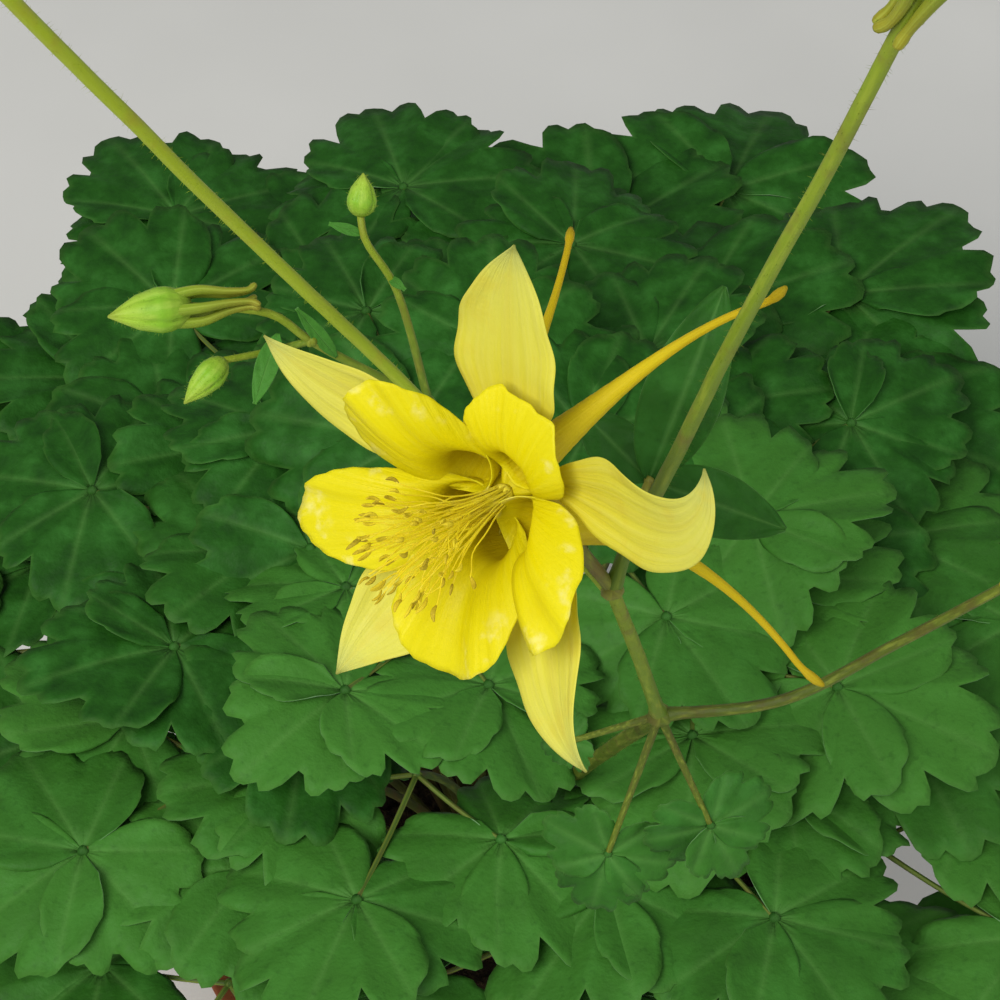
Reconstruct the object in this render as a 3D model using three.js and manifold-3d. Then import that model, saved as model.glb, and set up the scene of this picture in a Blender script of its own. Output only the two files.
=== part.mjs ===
// Golden columbine in a clay pot: one open long-spurred flower, its buds, stems and lobed leaves.
// Millimetres, +Z up, origin at the centre of the pot's foot.
import * as THREE from 'three';
import { mergeVertices } from 'three/addons/utils/BufferGeometryUtils.js';
import Module from 'manifold-3d';

const wasm = await Module();
wasm.setup();

// ---------------------------------------------------------------- driving dimensions
const CLEARANCE = 0.3; // between pieces that touch
const TUBE_PHASE = 0.3; // share of a side that turns a stem's edges off the planes of symmetry

const POT = {
  height: 168, footRadius: 64, topRadius: 92, wall: 6, floor: 8,
  rimHeight: 30, rimStep: 5, rimSlope: 1.5, chamfer: 2,
};
const DRAIN = { count: 3, radius: 6, ring: 38, firstTurn: 90 };
const SOIL_TOP = 150;
const SOIL_SHOULDER = { width: 5, drop: 3 };
const ROOTSTOCK = {
  radius: 17, rise: 13, neckRadius: 7, neckDepth: 18, rootDepth: 80, tipRadius: 2.2, domeSteps: 4,
};

const FLOWER_CENTRE = new THREE.Vector3(0, -170, 560);
const FLOWER_HEADING = -130.6; // compass turn of the way it faces, from +X
const FLOWER_RISE = 21; // how far it looks up
const SLOPE = 52; // tilt of the slope plane in which the places round the flower are given

const PETAL_THICKNESS = 0.5;
const SEPAL_THICKNESS = 0.5;
const LEAF_THICKNESS = 0.7;

const MOUTH = { ring: 6.2, radial: 3.2, sideways: 2.55, lip: 1.3, flare: 0.15, narrowing: 0.1 };
const SPUR_TIP_RADIUS = 0.6;
const RECEPTACLE = { radius: 2.3, footRadius: 1.3, back: -6.5, shoulder: -4.3, front: -0.7 };
// Shares of the way from the mouth's rim to the blade's edge, and of the way along the spur.
const BLADE_SHARES = [0.3, 0.65, 1];
const SPUR_SHARES = [0.95, 0.75, 0.5, 0.25, 0.08];
const HOLLOW = { throat: 0.15, end: 0.35 };

const SEPAL = { start: 2.75, behind: -3.5, claw: 0.13 };
const SEPALS = [
  { turn: 105, length: 39.5, half: 8.8, lift: 13, bend: 0, tipBend: 11,
    sway: -10, tipSway: -12, twist: 0, tipTwist: 20, widest: 0.44, cup: 0.13 },
  { turn: 40, length: 50, half: 7.4, lift: 14, bend: 34, tipBend: -55,
    sway: -38, tipSway: 112, twist: 0, tipTwist: 30, widest: 0.5, cup: 0.14 },
  { turn: -39, length: 40, half: 8.4, lift: 17, bend: 30, tipBend: -40,
    sway: -3, tipSway: 30, twist: 2, tipTwist: 36, widest: 0.5, cup: 0.11 },
  { turn: -109, length: 38, half: 7.6, lift: 17, bend: 20, tipBend: 0,
    sway: -2, tipSway: 10, twist: -8, tipTwist: -3, widest: 0.54, cup: 0.12 },
  { turn: -178, length: 41, half: 6.7, lift: 15, bend: 0, tipBend: -7,
    sway: -11, tipSway: -15, twist: -12, tipTwist: 3, widest: 0.53, cup: 0.13 },
];
const PETALS = [
  { turn: 160, blade: 21, half: 7.7, rise: 22, twist: -4, sway: -17, cup: 0.22, curl: 0.7, fold: 0.03,
    blunt: 0.9, spur: { length: 53, spread: 18, bend: 20, sway: -10 } },
  { turn: 74.7, blade: 14, half: 9.6, rise: 59.4, twist: 11, sway: 12.3, cup: -0.3, curl: 0, fold: 0.36,
    blunt: 0.86, reflex: 90.6, spur: { length: 50, spread: 28, bend: 75, sway: -20 } },
  { turn: -7, blade: 20.5, half: 7.9, rise: 29, twist: -7, sway: -12, cup: -0.3, curl: 0.34, fold: 0.26,
    blunt: 0.8, spur: { length: 56, spread: 22, bend: 62, sway: -30 } },
  { turn: -73, blade: 21, half: 9.6, rise: 32, twist: -8, sway: -1, cup: 0.55, curl: 0.2, fold: 0.15,
    blunt: 0.75, spur: { length: 52, spread: 20, bend: 10, sway: 0 } },
  { turn: -138, blade: 24.5, half: 7.4, rise: 23, twist: 10, sway: -13, cup: 0.5, curl: 0.35, fold: 0.2,
    blunt: 0.88, spur: { length: 52, spread: 20, bend: 30, sway: 0 } },
];
const STAMENS = {
  count: 10, shortest: 17, longest: 26, flare: 0.36, radius: 0.32, firstTurn: 18,
  collar: 1.9, bore: 1.25, collarTop: 0.6, foot: 0.2, antherStart: 0.88, antherRadii: [0.6, 0.5],
};
const PISTILS = {
  count: 5, length: 24, radius: 0.95, shoulder: 6, neck: 9, neckRadius: 0.5, top: 9.4,
  styleStart: [0.35, 5], styleMiddle: [0.7, 14], styleSpread: 1.9, styleRadii: [0.3, 0.2],
};

// Places on the slope plane, from the flower's centre: right, up the slope, out of the slope.
const CROWN = new THREE.Vector3(0, 0, SOIL_TOP + 9);
const LOWER_FORK = onSlope(28, -39, -95);
const UPPER_FORK = onSlope(17.5, -15, -50);
const BUD_FORK = onSlope(-12.5, 16, -74);
const BUD_PAIR_FORK = onSlope(-31, 25, -54);
const BRACT_JOINT = onSlope(24, 2.5, -60);

const STEMS = {
  lower: { route: [CROWN, new THREE.Vector3(8, -27, 235), new THREE.Vector3(20, -67, 323), LOWER_FORK],
    radii: [2.0, 1.5], steps: 12 },
  upper: { route: [LOWER_FORK, onSlope(22, -25, -72), UPPER_FORK], radii: [1.4, 1.2], steps: 6 },
  left: { route: [UPPER_FORK, onSlope(-0.5, 2.5, -64), onSlope(-16.5, 18.5, -48), onSlope(-31.5, 32.5, -20),
    onSlope(-43.5, 44, 10), onSlope(-66, 66, 88)], radii: [1.15, 0.95], steps: 16 },
  right: { route: [UPPER_FORK, onSlope(20.5, -5.5, -42), onSlope(23.5, 1, -26), onSlope(31.5, 23, 24),
    onSlope(38.5, 38.5, 50), onSlope(46, 57, 88)], radii: [1.2, 0.95], steps: 16 },
  side: { route: [LOWER_FORK, onSlope(49, -36, -90), onSlope(68.5, -25, -80), onSlope(90, -11, -62)],
    radii: [1.2, 0.9], steps: 9 },
  bud: { route: [UPPER_FORK, onSlope(3, -1, -75), BUD_FORK], radii: [1.0, 0.85], steps: 6 },
};
const BUD_STALKS = [
  { route: [BUD_FORK, BUD_PAIR_FORK, onSlope(-37, 29, -49), onSlope(-48, 30, -45)],
    radii: [0.8, 0.65], steps: 8 },
  { route: [BUD_PAIR_FORK, onSlope(-38.5, 23, -52), onSlope(-43.5, 22, -48.5)],
    radii: [0.65, 0.55], steps: 4 },
  { route: [BUD_FORK, onSlope(-17.5, 34, -54), onSlope(-22, 41, -48), onSlope(-22.5, 43.5, -47.5)],
    radii: [0.75, 0.6], steps: 7 },
];
const FLOWER_STALK = { route: [onSlope(7, 3, -13), onSlope(9.5, -1, -27), onSlope(10.5, -6, -38), UPPER_FORK],
  radii: [1.1, 1.1], steps: 7 };

const BUDS = [
  { name: 'bud_1', base: onSlope(-49, 30, -45), tip: onSlope(-62, 28, -42), half: 3.5, spurs: 10 },
  { name: 'bud_2', base: onSlope(-44.2, 21.8, -48.2), tip: onSlope(-50.5, 14.5, -46), half: 2.3, spurs: 0 },
  { name: 'bud_3', base: onSlope(-22.6, 44.3, -47.4), tip: onSlope(-22, 51, -45), half: 2.3, spurs: 0 },
  { name: 'bud_4', base: onSlope(-66.6, 66.6, 90.2), tip: onSlope(-73, 74, 108), half: 4.6, spurs: 16 },
  { name: 'bud_5', base: onSlope(46.4, 57.9, 90), tip: onSlope(50, 66, 108), half: 4.6, spurs: 16 },
  { name: 'bud_6', base: onSlope(90.8, -10.5, -61.3), tip: onSlope(101, -4, -50), half: 3.5, spurs: 10 },
];

// Swellings where stems fork, and the sheaths of the bracts round them.
const KNOBS = {
  lower: 2.1, upper: 1.9, bud: 1.1, budPair: 1, bract: 0.9, lowerSheath: 3.1, upperSheath: 2.9,
};

// A bud's width along its length, as shares, and its five young spurs.
const BUD_PROFILE = [[0, 0.35], [0.15, 0.8], [0.38, 1], [0.65, 0.78], [0.88, 0.33]];
const BUD_SPUR = { count: 5, start: [0.2, 0.55], middle: [0.3, 0.72], endOut: 0.5, thick: 0.28, thin: 0.14 };

const UPPER_LEAFLETS = [
  { to: onSlope(35.5, 33.5, -50), half: 6.5 },
  { to: onSlope(46, -5.5, -56), half: 5.5 },
  { to: onSlope(13, 14, -64), half: 4.6 },
];
const LOWER_LEAFLETS = [
  { to: onSlope(19.5, -66, -112), half: 12 },
  { to: onSlope(38, -60, -106), half: 11 },
  { to: onSlope(13, -46, -104), half: 9 },
];

const OVAL = { arch: 1.6, dish: 0.12, narrowest: 0.5, shares: [0, 0.2, 0.45, 0.7, 0.9, 1] };

// The youngest leaf stands upright and the oldest spreads flat. Those between are shorter by the dip.
// The flower's stem comes up in one leaf's place.
const LEAVES = {
  count: 30, stemPlace: 4, goldenTurn: 137.5, firstTurn: 93, ring: 14, sunk: 6, stalkRadii: [1.5, 0.95],
  dip: 68.7,
  young: { length: 174, start: 88, end: 81, tilt: 14, size: 0.83 },
  old: { length: 191, start: 74, end: 2, tilt: 1, size: 1.12 },
};
const TREFOIL = {
  radius: 33.5, middleStalk: 43.5, sideStalk: 30.3, sideTurn: 68, stalkRadii: [0.75, 0.6],
  rise: -0.06, droop: 4, dish: 0.08, hub: 0.15,
};
// Outline of three wedge-shaped leaflets that meet at a point: turn from the middle, share of the radius.
const TREFOIL_OUTLINE = [
  [180, 0.12], [-114, 0.66], [-74, 0.98], [-40, 0.52], [-20, 0.98],
  [20, 0.98], [40, 0.52], [74, 0.98], [114, 0.66],
];

// ---------------------------------------------------------------- small helpers
function radians(degrees) {
  return THREE.MathUtils.degToRad(degrees);
}

function onSlope(right, up, out) {
  const tilt = radians(SLOPE);
  const y = up * Math.sin(tilt) - out * Math.cos(tilt);
  const z = up * Math.cos(tilt) + out * Math.sin(tilt);
  return new THREE.Vector3(right, y, z).add(FLOWER_CENTRE);
}

function turned(vector, axis, degrees) {
  return vector.clone().applyAxisAngle(axis, radians(degrees));
}

function offset(point, direction, distance) {
  return point.clone().addScaledVector(direction, distance);
}

function crossed(a, b) {
  return new THREE.Vector3().crossVectors(a, b).normalize();
}

// ---------------------------------------------------------------- solids
function solid(points, triangles) {
  let volume = 0;
  for (const [a, b, c] of triangles) {
    volume += points[a].dot(new THREE.Vector3().crossVectors(points[b], points[c]));
  }
  const outward = volume > 0 ? triangles : triangles.map(([a, b, c]) => [a, c, b]);
  const vertProperties = new Float32Array(points.flatMap((p) => [p.x, p.y, p.z]));
  const triVerts = new Uint32Array(outward.flat());
  return new wasm.Manifold(new wasm.Mesh({ numProp: 3, vertProperties, triVerts }));
}

function solidOfGeometry(geometry) {
  geometry.deleteAttribute('normal');
  geometry.deleteAttribute('uv');
  const merged = mergeVertices(geometry, 1e-3);
  const vertProperties = new Float32Array(merged.attributes.position.array);
  const triVerts = new Uint32Array(merged.index.array);
  return new wasm.Manifold(new wasm.Mesh({ numProp: 3, vertProperties, triVerts }));
}

// A skin through a row of rings. A ring of one point closes an end.
function loft(rings) {
  const points = rings.flat();
  const triangles = [];
  let start = 0;
  for (let i = 0; i + 1 < rings.length; i += 1) {
    const here = rings[i].length;
    const next = rings[i + 1].length;
    const sides = Math.max(here, next);
    for (let j = 0; j < sides; j += 1) {
      const k = (j + 1) % sides;
      const nextStart = start + here;
      if (here > 1) triangles.push([start + j, start + k, nextStart + (next > 1 ? k : 0)]);
      if (next > 1) triangles.push([start + (here > 1 ? j : 0), nextStart + k, nextStart + j]);
    }
    start += here;
  }
  return solid(points, triangles);
}

// A round stem along a smooth route, tapering between two radii, with pointed ends.
function tube(route, radii, steps, sides = 6, extra = 0) {
  const curve = new THREE.CatmullRomCurve3(route, false, 'centripetal');
  const frames = curve.computeFrenetFrames(steps, false);
  const rings = [];
  for (let i = 0; i <= steps; i += 1) {
    const radius = THREE.MathUtils.lerp(radii[0], radii[1], i / steps) + extra;
    const centre = curve.getPointAt(i / steps);
    const ring = [];
    for (let j = 0; j < sides; j += 1) {
      const angle = (2 * Math.PI * (j + TUBE_PHASE)) / sides;
      const rim = offset(centre, frames.normals[i], radius * Math.cos(angle));
      ring.push(rim.addScaledVector(frames.binormals[i], radius * Math.sin(angle)));
    }
    rings.push(ring);
  }
  const first = offset(curve.getPointAt(0), frames.tangents[0], -radii[0] * 0.7 - extra);
  const last = offset(curve.getPointAt(1), frames.tangents[steps], radii[1] * 0.7 + extra);
  return loft([[first], ...rings, [last]]);
}

function normalsOf(grid) {
  return grid.map((row, i) => row.map((point, j) => {
    const along = grid[Math.min(i + 1, grid.length - 1)][j].clone().sub(grid[Math.max(i - 1, 0)][j]);
    const across = row[Math.min(j + 1, row.length - 1)].clone().sub(row[Math.max(j - 1, 0)]);
    return crossed(along, across);
  }));
}

// A thin sheet of even thickness over a grid of points.
function sheet(grid, thickness) {
  const normals = normalsOf(grid);
  const rows = grid.length;
  const columns = grid[0].length;
  const skin = (lift) => grid.flatMap((row, i) => row.map((point, j) => offset(point, normals[i][j], lift)));
  const points = [...skin(thickness / 2), ...skin(-thickness / 2)];
  const under = rows * columns;
  const last = columns - 1;
  const at = (i, j) => i * columns + j;
  const triangles = [];
  const quad = (a, b, c, d) => triangles.push([a, b, c], [a, c, d]);
  for (let i = 0; i + 1 < rows; i += 1) {
    for (let j = 0; j + 1 < columns; j += 1) {
      quad(at(i, j), at(i, j + 1), at(i + 1, j + 1), at(i + 1, j));
      quad(under + at(i, j), under + at(i + 1, j), under + at(i + 1, j + 1), under + at(i, j + 1));
    }
    quad(at(i, 0), at(i + 1, 0), under + at(i + 1, 0), under + at(i, 0));
    quad(at(i, last), under + at(i, last), under + at(i + 1, last), at(i + 1, last));
  }
  for (let j = 0; j + 1 < columns; j += 1) {
    quad(at(0, j), under + at(0, j), under + at(0, j + 1), at(0, j + 1));
    quad(at(rows - 1, j), at(rows - 1, j + 1), under + at(rows - 1, j + 1), under + at(rows - 1, j));
  }
  return solid(points, triangles);
}

function largest(body) {
  const parts = body.decompose();
  return parts.reduce((best, part) => (part.volume() > best.volume() ? part : best));
}

// Cuts a piece clear of its neighbours and keeps what still hangs together.
function clearOf(piece, neighbours) {
  return largest(neighbours.reduce((rest, neighbour) => rest.subtract(neighbour), piece));
}

function joined(bodies) {
  return bodies.reduce((all, body) => all.add(body));
}

// ---------------------------------------------------------------- pot, soil and rootstock
function lathe(profile, segments = 32) {
  const geometry = new THREE.LatheGeometry(profile.map(([r, z]) => new THREE.Vector2(r, z)), segments);
  geometry.rotateX(Math.PI / 2);
  return solidOfGeometry(geometry);
}

function potRadius(z) {
  return THREE.MathUtils.lerp(POT.footRadius, POT.topRadius, z / POT.height);
}

function potBody() {
  const rimBase = POT.height - POT.rimHeight;
  const rimRadius = potRadius(POT.height) + POT.rimStep;
  const body = lathe([
    [0, 0],
    [POT.footRadius, 0],
    [potRadius(rimBase), rimBase],
    [potRadius(rimBase) + POT.rimStep, rimBase + POT.rimSlope],
    [rimRadius, POT.height - POT.chamfer],
    [rimRadius - POT.chamfer, POT.height],
    [potRadius(POT.height) - POT.wall + POT.chamfer, POT.height],
    [potRadius(POT.floor) - POT.wall, POT.floor],
    [0, POT.floor],
  ]);
  const holes = [];
  for (let i = 0; i < DRAIN.count; i += 1) {
    const drill = new THREE.CylinderGeometry(DRAIN.radius, DRAIN.radius, POT.floor * 3, 12);
    drill.rotateX(Math.PI / 2);
    const angle = radians(DRAIN.firstTurn + (360 * i) / DRAIN.count);
    drill.translate(DRAIN.ring * Math.cos(angle), DRAIN.ring * Math.sin(angle), 0);
    holes.push(solidOfGeometry(drill));
  }
  return holes.reduce((pot, hole) => pot.subtract(hole), body);
}

function soilBody() {
  const inside = (z) => {
    const low = potRadius(POT.floor) - POT.wall;
    const high = potRadius(POT.height) - POT.wall + POT.chamfer;
    return THREE.MathUtils.lerp(low, high, (z - POT.floor) / (POT.height - POT.floor)) - CLEARANCE;
  };
  const bottom = POT.floor + CLEARANCE;
  const socketBottom = SOIL_TOP - ROOTSTOCK.rootDepth - CLEARANCE;
  return lathe([
    [0, bottom],
    [inside(bottom), bottom],
    [inside(SOIL_TOP - SOIL_SHOULDER.drop), SOIL_TOP - SOIL_SHOULDER.drop],
    [inside(SOIL_TOP) - SOIL_SHOULDER.width, SOIL_TOP],
    [ROOTSTOCK.radius + CLEARANCE, SOIL_TOP],
    [ROOTSTOCK.neckRadius + CLEARANCE, SOIL_TOP - ROOTSTOCK.neckDepth],
    [ROOTSTOCK.tipRadius + CLEARANCE, socketBottom],
    [0, socketBottom],
  ]);
}

function rootstockBody(extra = 0) {
  const { radius, rise, neckRadius, neckDepth, rootDepth, tipRadius, domeSteps } = ROOTSTOCK;
  const dome = [];
  for (let i = 0; i < domeSteps; i += 1) {
    const angle = (Math.PI / 2) * (i / domeSteps);
    dome.push([(radius + extra) * Math.cos(angle), SOIL_TOP + (rise + extra) * Math.sin(angle)]);
  }
  return lathe([
    [0, SOIL_TOP - rootDepth],
    [tipRadius, SOIL_TOP - rootDepth],
    [neckRadius, SOIL_TOP - neckDepth],
    ...dome,
    [0, SOIL_TOP + rise + extra],
  ], 12);
}

// ---------------------------------------------------------------- flower: x right, y up, z the way it faces
const FORWARD = new THREE.Vector3(0, 0, 1);

function outwardAt(turn) {
  return new THREE.Vector3(Math.cos(radians(turn)), Math.sin(radians(turn)), 0);
}

// Half width along a sepal, from 0 at the claw to 1 at the tip.
function sepalHalf(sepal, u) {
  if (u < sepal.widest) {
    const swell = Math.sin((Math.PI / 2) * (u / sepal.widest)) ** 1.6;
    return sepal.half * (SEPAL.claw + (1 - SEPAL.claw) * swell);
  }
  const x = (u - sepal.widest) / (1 - sepal.widest);
  return Math.max(0.2, sepal.half * (1 - x ** 1.9) ** 0.95 * (1 - 0.25 * x * x));
}

function sepalGrid(sepal, rows = 8, columns = 5) {
  const outward = outwardAt(sepal.turn);
  const direction = outward.clone().multiplyScalar(Math.cos(radians(sepal.lift)));
  direction.addScaledVector(FORWARD, Math.sin(radians(sepal.lift)));
  let side = crossed(FORWARD, outward);
  const point = outward.clone().multiplyScalar(SEPAL.start).addScaledVector(FORWARD, SEPAL.behind);
  const finePerRow = 5;
  const steps = (rows - 1) * finePerRow;
  const grid = [];
  for (let step = 0; step <= steps; step += 1) {
    const u = step / steps;
    if (step % finePerRow === 0) {
      const normal = crossed(direction, side);
      const half = sepalHalf(sepal, u);
      const curve = half / (2 * sepal.cup);
      const row = [];
      for (let j = 0; j < columns; j += 1) {
        const angle = (-1 + (2 * j) / (columns - 1)) * 2 * sepal.cup;
        const edge = offset(point, side, curve * Math.sin(angle));
        row.push(edge.addScaledVector(normal, curve * (1 - Math.cos(angle))));
      }
      grid.push(row);
    }
    const late = 4 * (u + 0.5 / steps) ** 3;
    const normal = crossed(direction, side);
    direction.applyAxisAngle(side, -radians(sepal.bend + sepal.tipBend * late) / steps);
    direction.applyAxisAngle(normal, radians(sepal.sway + sepal.tipSway * late) / steps);
    side.addScaledVector(direction, -side.dot(direction)).normalize();
    side = turned(side, direction, (sepal.twist + sepal.tipTwist * late) / steps);
    point.addScaledVector(direction, sepal.length / steps);
  }
  return grid;
}

// Centre line of a petal's spur, from the mouth backwards.
function spurLine(petal, steps = 36) {
  const outward = outwardAt(petal.turn);
  const across = crossed(FORWARD, outward);
  const direction = FORWARD.clone().multiplyScalar(-Math.cos(radians(petal.spur.spread)));
  direction.addScaledVector(outward, Math.sin(radians(petal.spur.spread)));
  const point = outward.clone().multiplyScalar(MOUTH.ring);
  const line = [{ point: point.clone(), direction: direction.clone() }];
  for (let step = 0; step < steps; step += 1) {
    direction.applyAxisAngle(across, -radians(petal.spur.bend) / steps);
    direction.applyAxisAngle(crossed(direction, across), radians(petal.spur.sway) / steps).normalize();
    point.addScaledVector(direction, petal.spur.length / steps);
    line.push({ point: point.clone(), direction: direction.clone() });
  }
  return line;
}

// Radius along the spur, which narrows quickly behind the mouth and has a round bulb at its tip.
function spurRadius(mouthRadius, u) {
  const bulb = 0.25 * Math.exp(-(((u - 0.975) / 0.02) ** 2));
  return SPUR_TIP_RADIUS + (mouthRadius - SPUR_TIP_RADIUS) * (1 - u) ** 1.75 + bulb;
}

function spurRing(petal, u, sides, change) {
  const line = spurLine(petal);
  const { point, direction } = line[Math.round(u * (line.length - 1))];
  const across = crossed(FORWARD, outwardAt(petal.turn));
  const second = across.clone().addScaledVector(direction, -across.dot(direction)).normalize();
  const first = crossed(direction, second);
  const ring = [];
  for (let j = 0; j < sides; j += 1) {
    const angle = -Math.PI + (2 * Math.PI * j) / sides;
    const rim = offset(point, first, (spurRadius(MOUTH.radial, u) + change) * Math.cos(angle));
    ring.push(rim.addScaledVector(second, (spurRadius(MOUTH.sideways, u) + change) * Math.sin(angle)));
  }
  return ring;
}

// How far out and how high a point of the blade lies once its outer part bends back in an arc.
function bentBack(petal, x, height) {
  if (!petal.reflex || x < 0) return [x, height];
  const radius = petal.blade / radians(petal.reflex);
  const angle = x / radius;
  return [Math.sin(angle) * radius, height * Math.cos(angle) - (1 - Math.cos(angle)) * radius];
}

// Rings of the blade, from the mouth's rim to the free edge.
function bladeRings(petal, shares, sides) {
  const outward = outwardAt(petal.turn);
  const along = outward.clone().multiplyScalar(Math.cos(radians(petal.rise)));
  along.addScaledVector(FORWARD, Math.sin(radians(petal.rise)));
  const across = turned(crossed(FORWARD, outward), along, petal.twist);
  const facing = crossed(along, across);
  const mouth = spurLine(petal)[0];
  const rim = spurRing(petal, 0, sides, 0);
  const halfLength = (petal.blade + MOUTH.radial) / 2;
  return shares.map((share) => rim.map((start, j) => {
    const angle = -Math.PI + (2 * Math.PI * j) / sides;
    const c = Math.cos(angle);
    const s = Math.sin(angle);
    const inner = Math.max(0, -c);
    const x = (petal.blade - MOUTH.radial) / 2 + halfLength * (c > 0 ? c ** petal.blunt : c);
    const y = petal.half * Math.sign(s) * Math.abs(s) ** petal.blunt * (1 - MOUTH.narrowing * inner);
    const curl = petal.curl * Math.max(0, x / petal.blade) ** 2 * petal.blade / 2;
    const height = (petal.cup * y * y) / petal.half + curl + petal.fold * Math.abs(y);
    const [far, up] = bentBack(petal, x, height);
    const sway = petal.sway * THREE.MathUtils.smoothstep(x, 0, petal.blade);
    const reach = turned(along.clone().multiplyScalar(far).addScaledVector(across, y), facing, sway);
    const edge = reach.add(mouth.point).addScaledVector(facing, up);
    edge.lerp(offset(start, mouth.direction, -MOUTH.lip), inner ** 2);
    const control = offset(start, mouth.direction, -MOUTH.flare * edge.distanceTo(start));
    return new THREE.QuadraticBezierCurve3(start, control, edge).getPoint(share);
  }));
}

// The rings moved along their surface's normals.
function pushed(rings, distance) {
  const last = rings.length - 1;
  return rings.map((ring, i) => ring.map((point, j) => {
    const sides = ring.length;
    const along = rings[Math.min(i + 1, last)][j].clone().sub(rings[Math.max(i - 1, 0)][j]);
    const across = ring[(j + 1) % sides].clone().sub(ring[(j + sides - 1) % sides]);
    return offset(point, crossed(across, along), distance);
  }));
}

// One petal: a long hollow spur that opens through its mouth into the blade.
function petalBody(petal, extra = 0) {
  const sides = 10;
  const reach = PETAL_THICKNESS / 2 + extra;
  const blade = [spurRing(petal, 0, sides, 0), ...bladeRings(petal, BLADE_SHARES, sides)];
  const outer = pushed(blade, reach);
  const inner = pushed(blade, -reach);
  const line = spurLine(petal);
  const tip = offset(line.at(-1).point, line.at(-1).direction, SPUR_TIP_RADIUS / 2 + extra);
  const spur = SPUR_SHARES.map((u, i) => spurRing(petal, u, sides, i ? reach : extra));
  const throat = spurRing(petal, HOLLOW.throat, sides, -reach);
  const hollowEnd = line[Math.round(HOLLOW.end * (line.length - 1))].point;
  return loft([[tip], ...spur, ...outer, ...inner.reverse(), throat, [hollowEnd]]);
}

function stamensBody() {
  const base = RECEPTACLE.front + CLEARANCE;
  const collar = lathe([
    [STAMENS.bore, base],
    [STAMENS.collar, base],
    [STAMENS.collar, STAMENS.collarTop],
    [STAMENS.bore, STAMENS.collarTop],
    [STAMENS.bore, base],
  ], 10);
  const middle = (STAMENS.collar + STAMENS.bore) / 2;
  const filaments = [];
  for (let i = 0; i < STAMENS.count; i += 1) {
    const outward = outwardAt(STAMENS.firstTurn + (360 * i) / STAMENS.count);
    const length = i % 2 ? STAMENS.longest : STAMENS.shortest;
    const at = (share) => {
      const spread = middle + STAMENS.flare * length * share * share;
      return outward.clone().multiplyScalar(spread).setZ(STAMENS.foot + length * share);
    };
    filaments.push(tube([at(0), at(0.5), at(0.9)], [STAMENS.radius, STAMENS.radius], 2, 3));
    filaments.push(tube([at(STAMENS.antherStart), at(1)], STAMENS.antherRadii, 1, 3));
  }
  return joined([collar, ...filaments]);
}

function pistilsBody() {
  const base = RECEPTACLE.front + CLEARANCE;
  const core = lathe([
    [0, base],
    [PISTILS.radius, base],
    [PISTILS.radius, PISTILS.shoulder],
    [PISTILS.neckRadius, PISTILS.neck],
    [0, PISTILS.top],
  ], 8);
  const styles = [];
  for (let i = 0; i < PISTILS.count; i += 1) {
    const outward = outwardAt((360 * i) / PISTILS.count);
    const at = ([spread, z]) => outward.clone().multiplyScalar(spread).setZ(z);
    const route = [PISTILS.styleStart, PISTILS.styleMiddle, [PISTILS.styleSpread, PISTILS.length]];
    styles.push(tube(route.map(at), PISTILS.styleRadii, 2, 3));
  }
  return joined([core, ...styles]);
}

function flowerFrame() {
  const heading = radians(FLOWER_HEADING);
  const rise = radians(FLOWER_RISE);
  const level = new THREE.Vector3(Math.cos(heading), Math.sin(heading), 0);
  const facing = level.multiplyScalar(Math.cos(rise)).setZ(Math.sin(rise));
  const right = crossed(new THREE.Vector3(0, 0, 1), facing);
  return new THREE.Matrix4().makeBasis(right, crossed(facing, right), facing).setPosition(FLOWER_CENTRE);
}

function inFlower(x, y, z) {
  return new THREE.Vector3(x, y, z).applyMatrix4(flowerFrame());
}

// Pedicel with the receptacle that carries the flower.
function flowerStalkBody(extra = 0) {
  const { back, shoulder, front, radius, footRadius } = RECEPTACLE;
  const sides = 10;
  const ringAt = (z, r) => Array.from({ length: sides }, (_, j) => {
    const angle = (2 * Math.PI * j) / sides;
    return inFlower((r + extra) * Math.cos(angle), (r + extra) * Math.sin(angle), z);
  });
  const receptacle = loft([
    [inFlower(0, 0, back - extra)],
    ringAt(back - extra, footRadius),
    ringAt(shoulder, radius),
    ringAt(front + extra, radius),
    [inFlower(0, 0, front + extra)],
  ]);
  const route = [inFlower(0, 0, back + 1), ...FLOWER_STALK.route];
  return joined([receptacle, tube(route, FLOWER_STALK.radii, FLOWER_STALK.steps, 6, extra)]);
}

// ---------------------------------------------------------------- stems, buds and leaves
function stemBody({ route, radii, steps }, extra = 0) {
  return tube(route, radii, steps, 6, extra);
}

function knob(centre, radius, extra = 0) {
  const geometry = new THREE.SphereGeometry(radius + extra, 7, 5);
  geometry.translate(centre.x, centre.y, centre.z);
  return solidOfGeometry(geometry);
}

function budBody({ base, tip, half, spurs }, extra = 0) {
  const axis = tip.clone().sub(base);
  const length = axis.length();
  axis.normalize();
  const side = crossed(axis, new THREE.Vector3(0, 0, 1));
  const radial = (turn) => turned(side, axis, turn);
  const rings = BUD_PROFILE.map(([share, width]) => Array.from({ length: 8 }, (_, j) => {
    const centre = offset(base, axis, share * length);
    return centre.addScaledVector(radial(-45 * j), width * half + extra);
  }));
  const body = loft([[offset(base, axis, -extra)], ...rings, [offset(tip, axis, extra)]]);
  if (!spurs) return body;
  const horns = [];
  for (let i = 0; i < BUD_SPUR.count; i += 1) {
    const outward = radial((-360 * i) / BUD_SPUR.count);
    const at = (along, out) => offset(base, axis, along).addScaledVector(outward, out * half);
    const route = [
      at(BUD_SPUR.start[0] * length, BUD_SPUR.start[1]),
      at(-BUD_SPUR.middle[0] * spurs, BUD_SPUR.middle[1]),
      at(-spurs, BUD_SPUR.endOut),
    ];
    horns.push(tube(route, [BUD_SPUR.thick * half, BUD_SPUR.thin * half], 3, 4, extra));
  }
  return joined([body, ...horns]);
}

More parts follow.
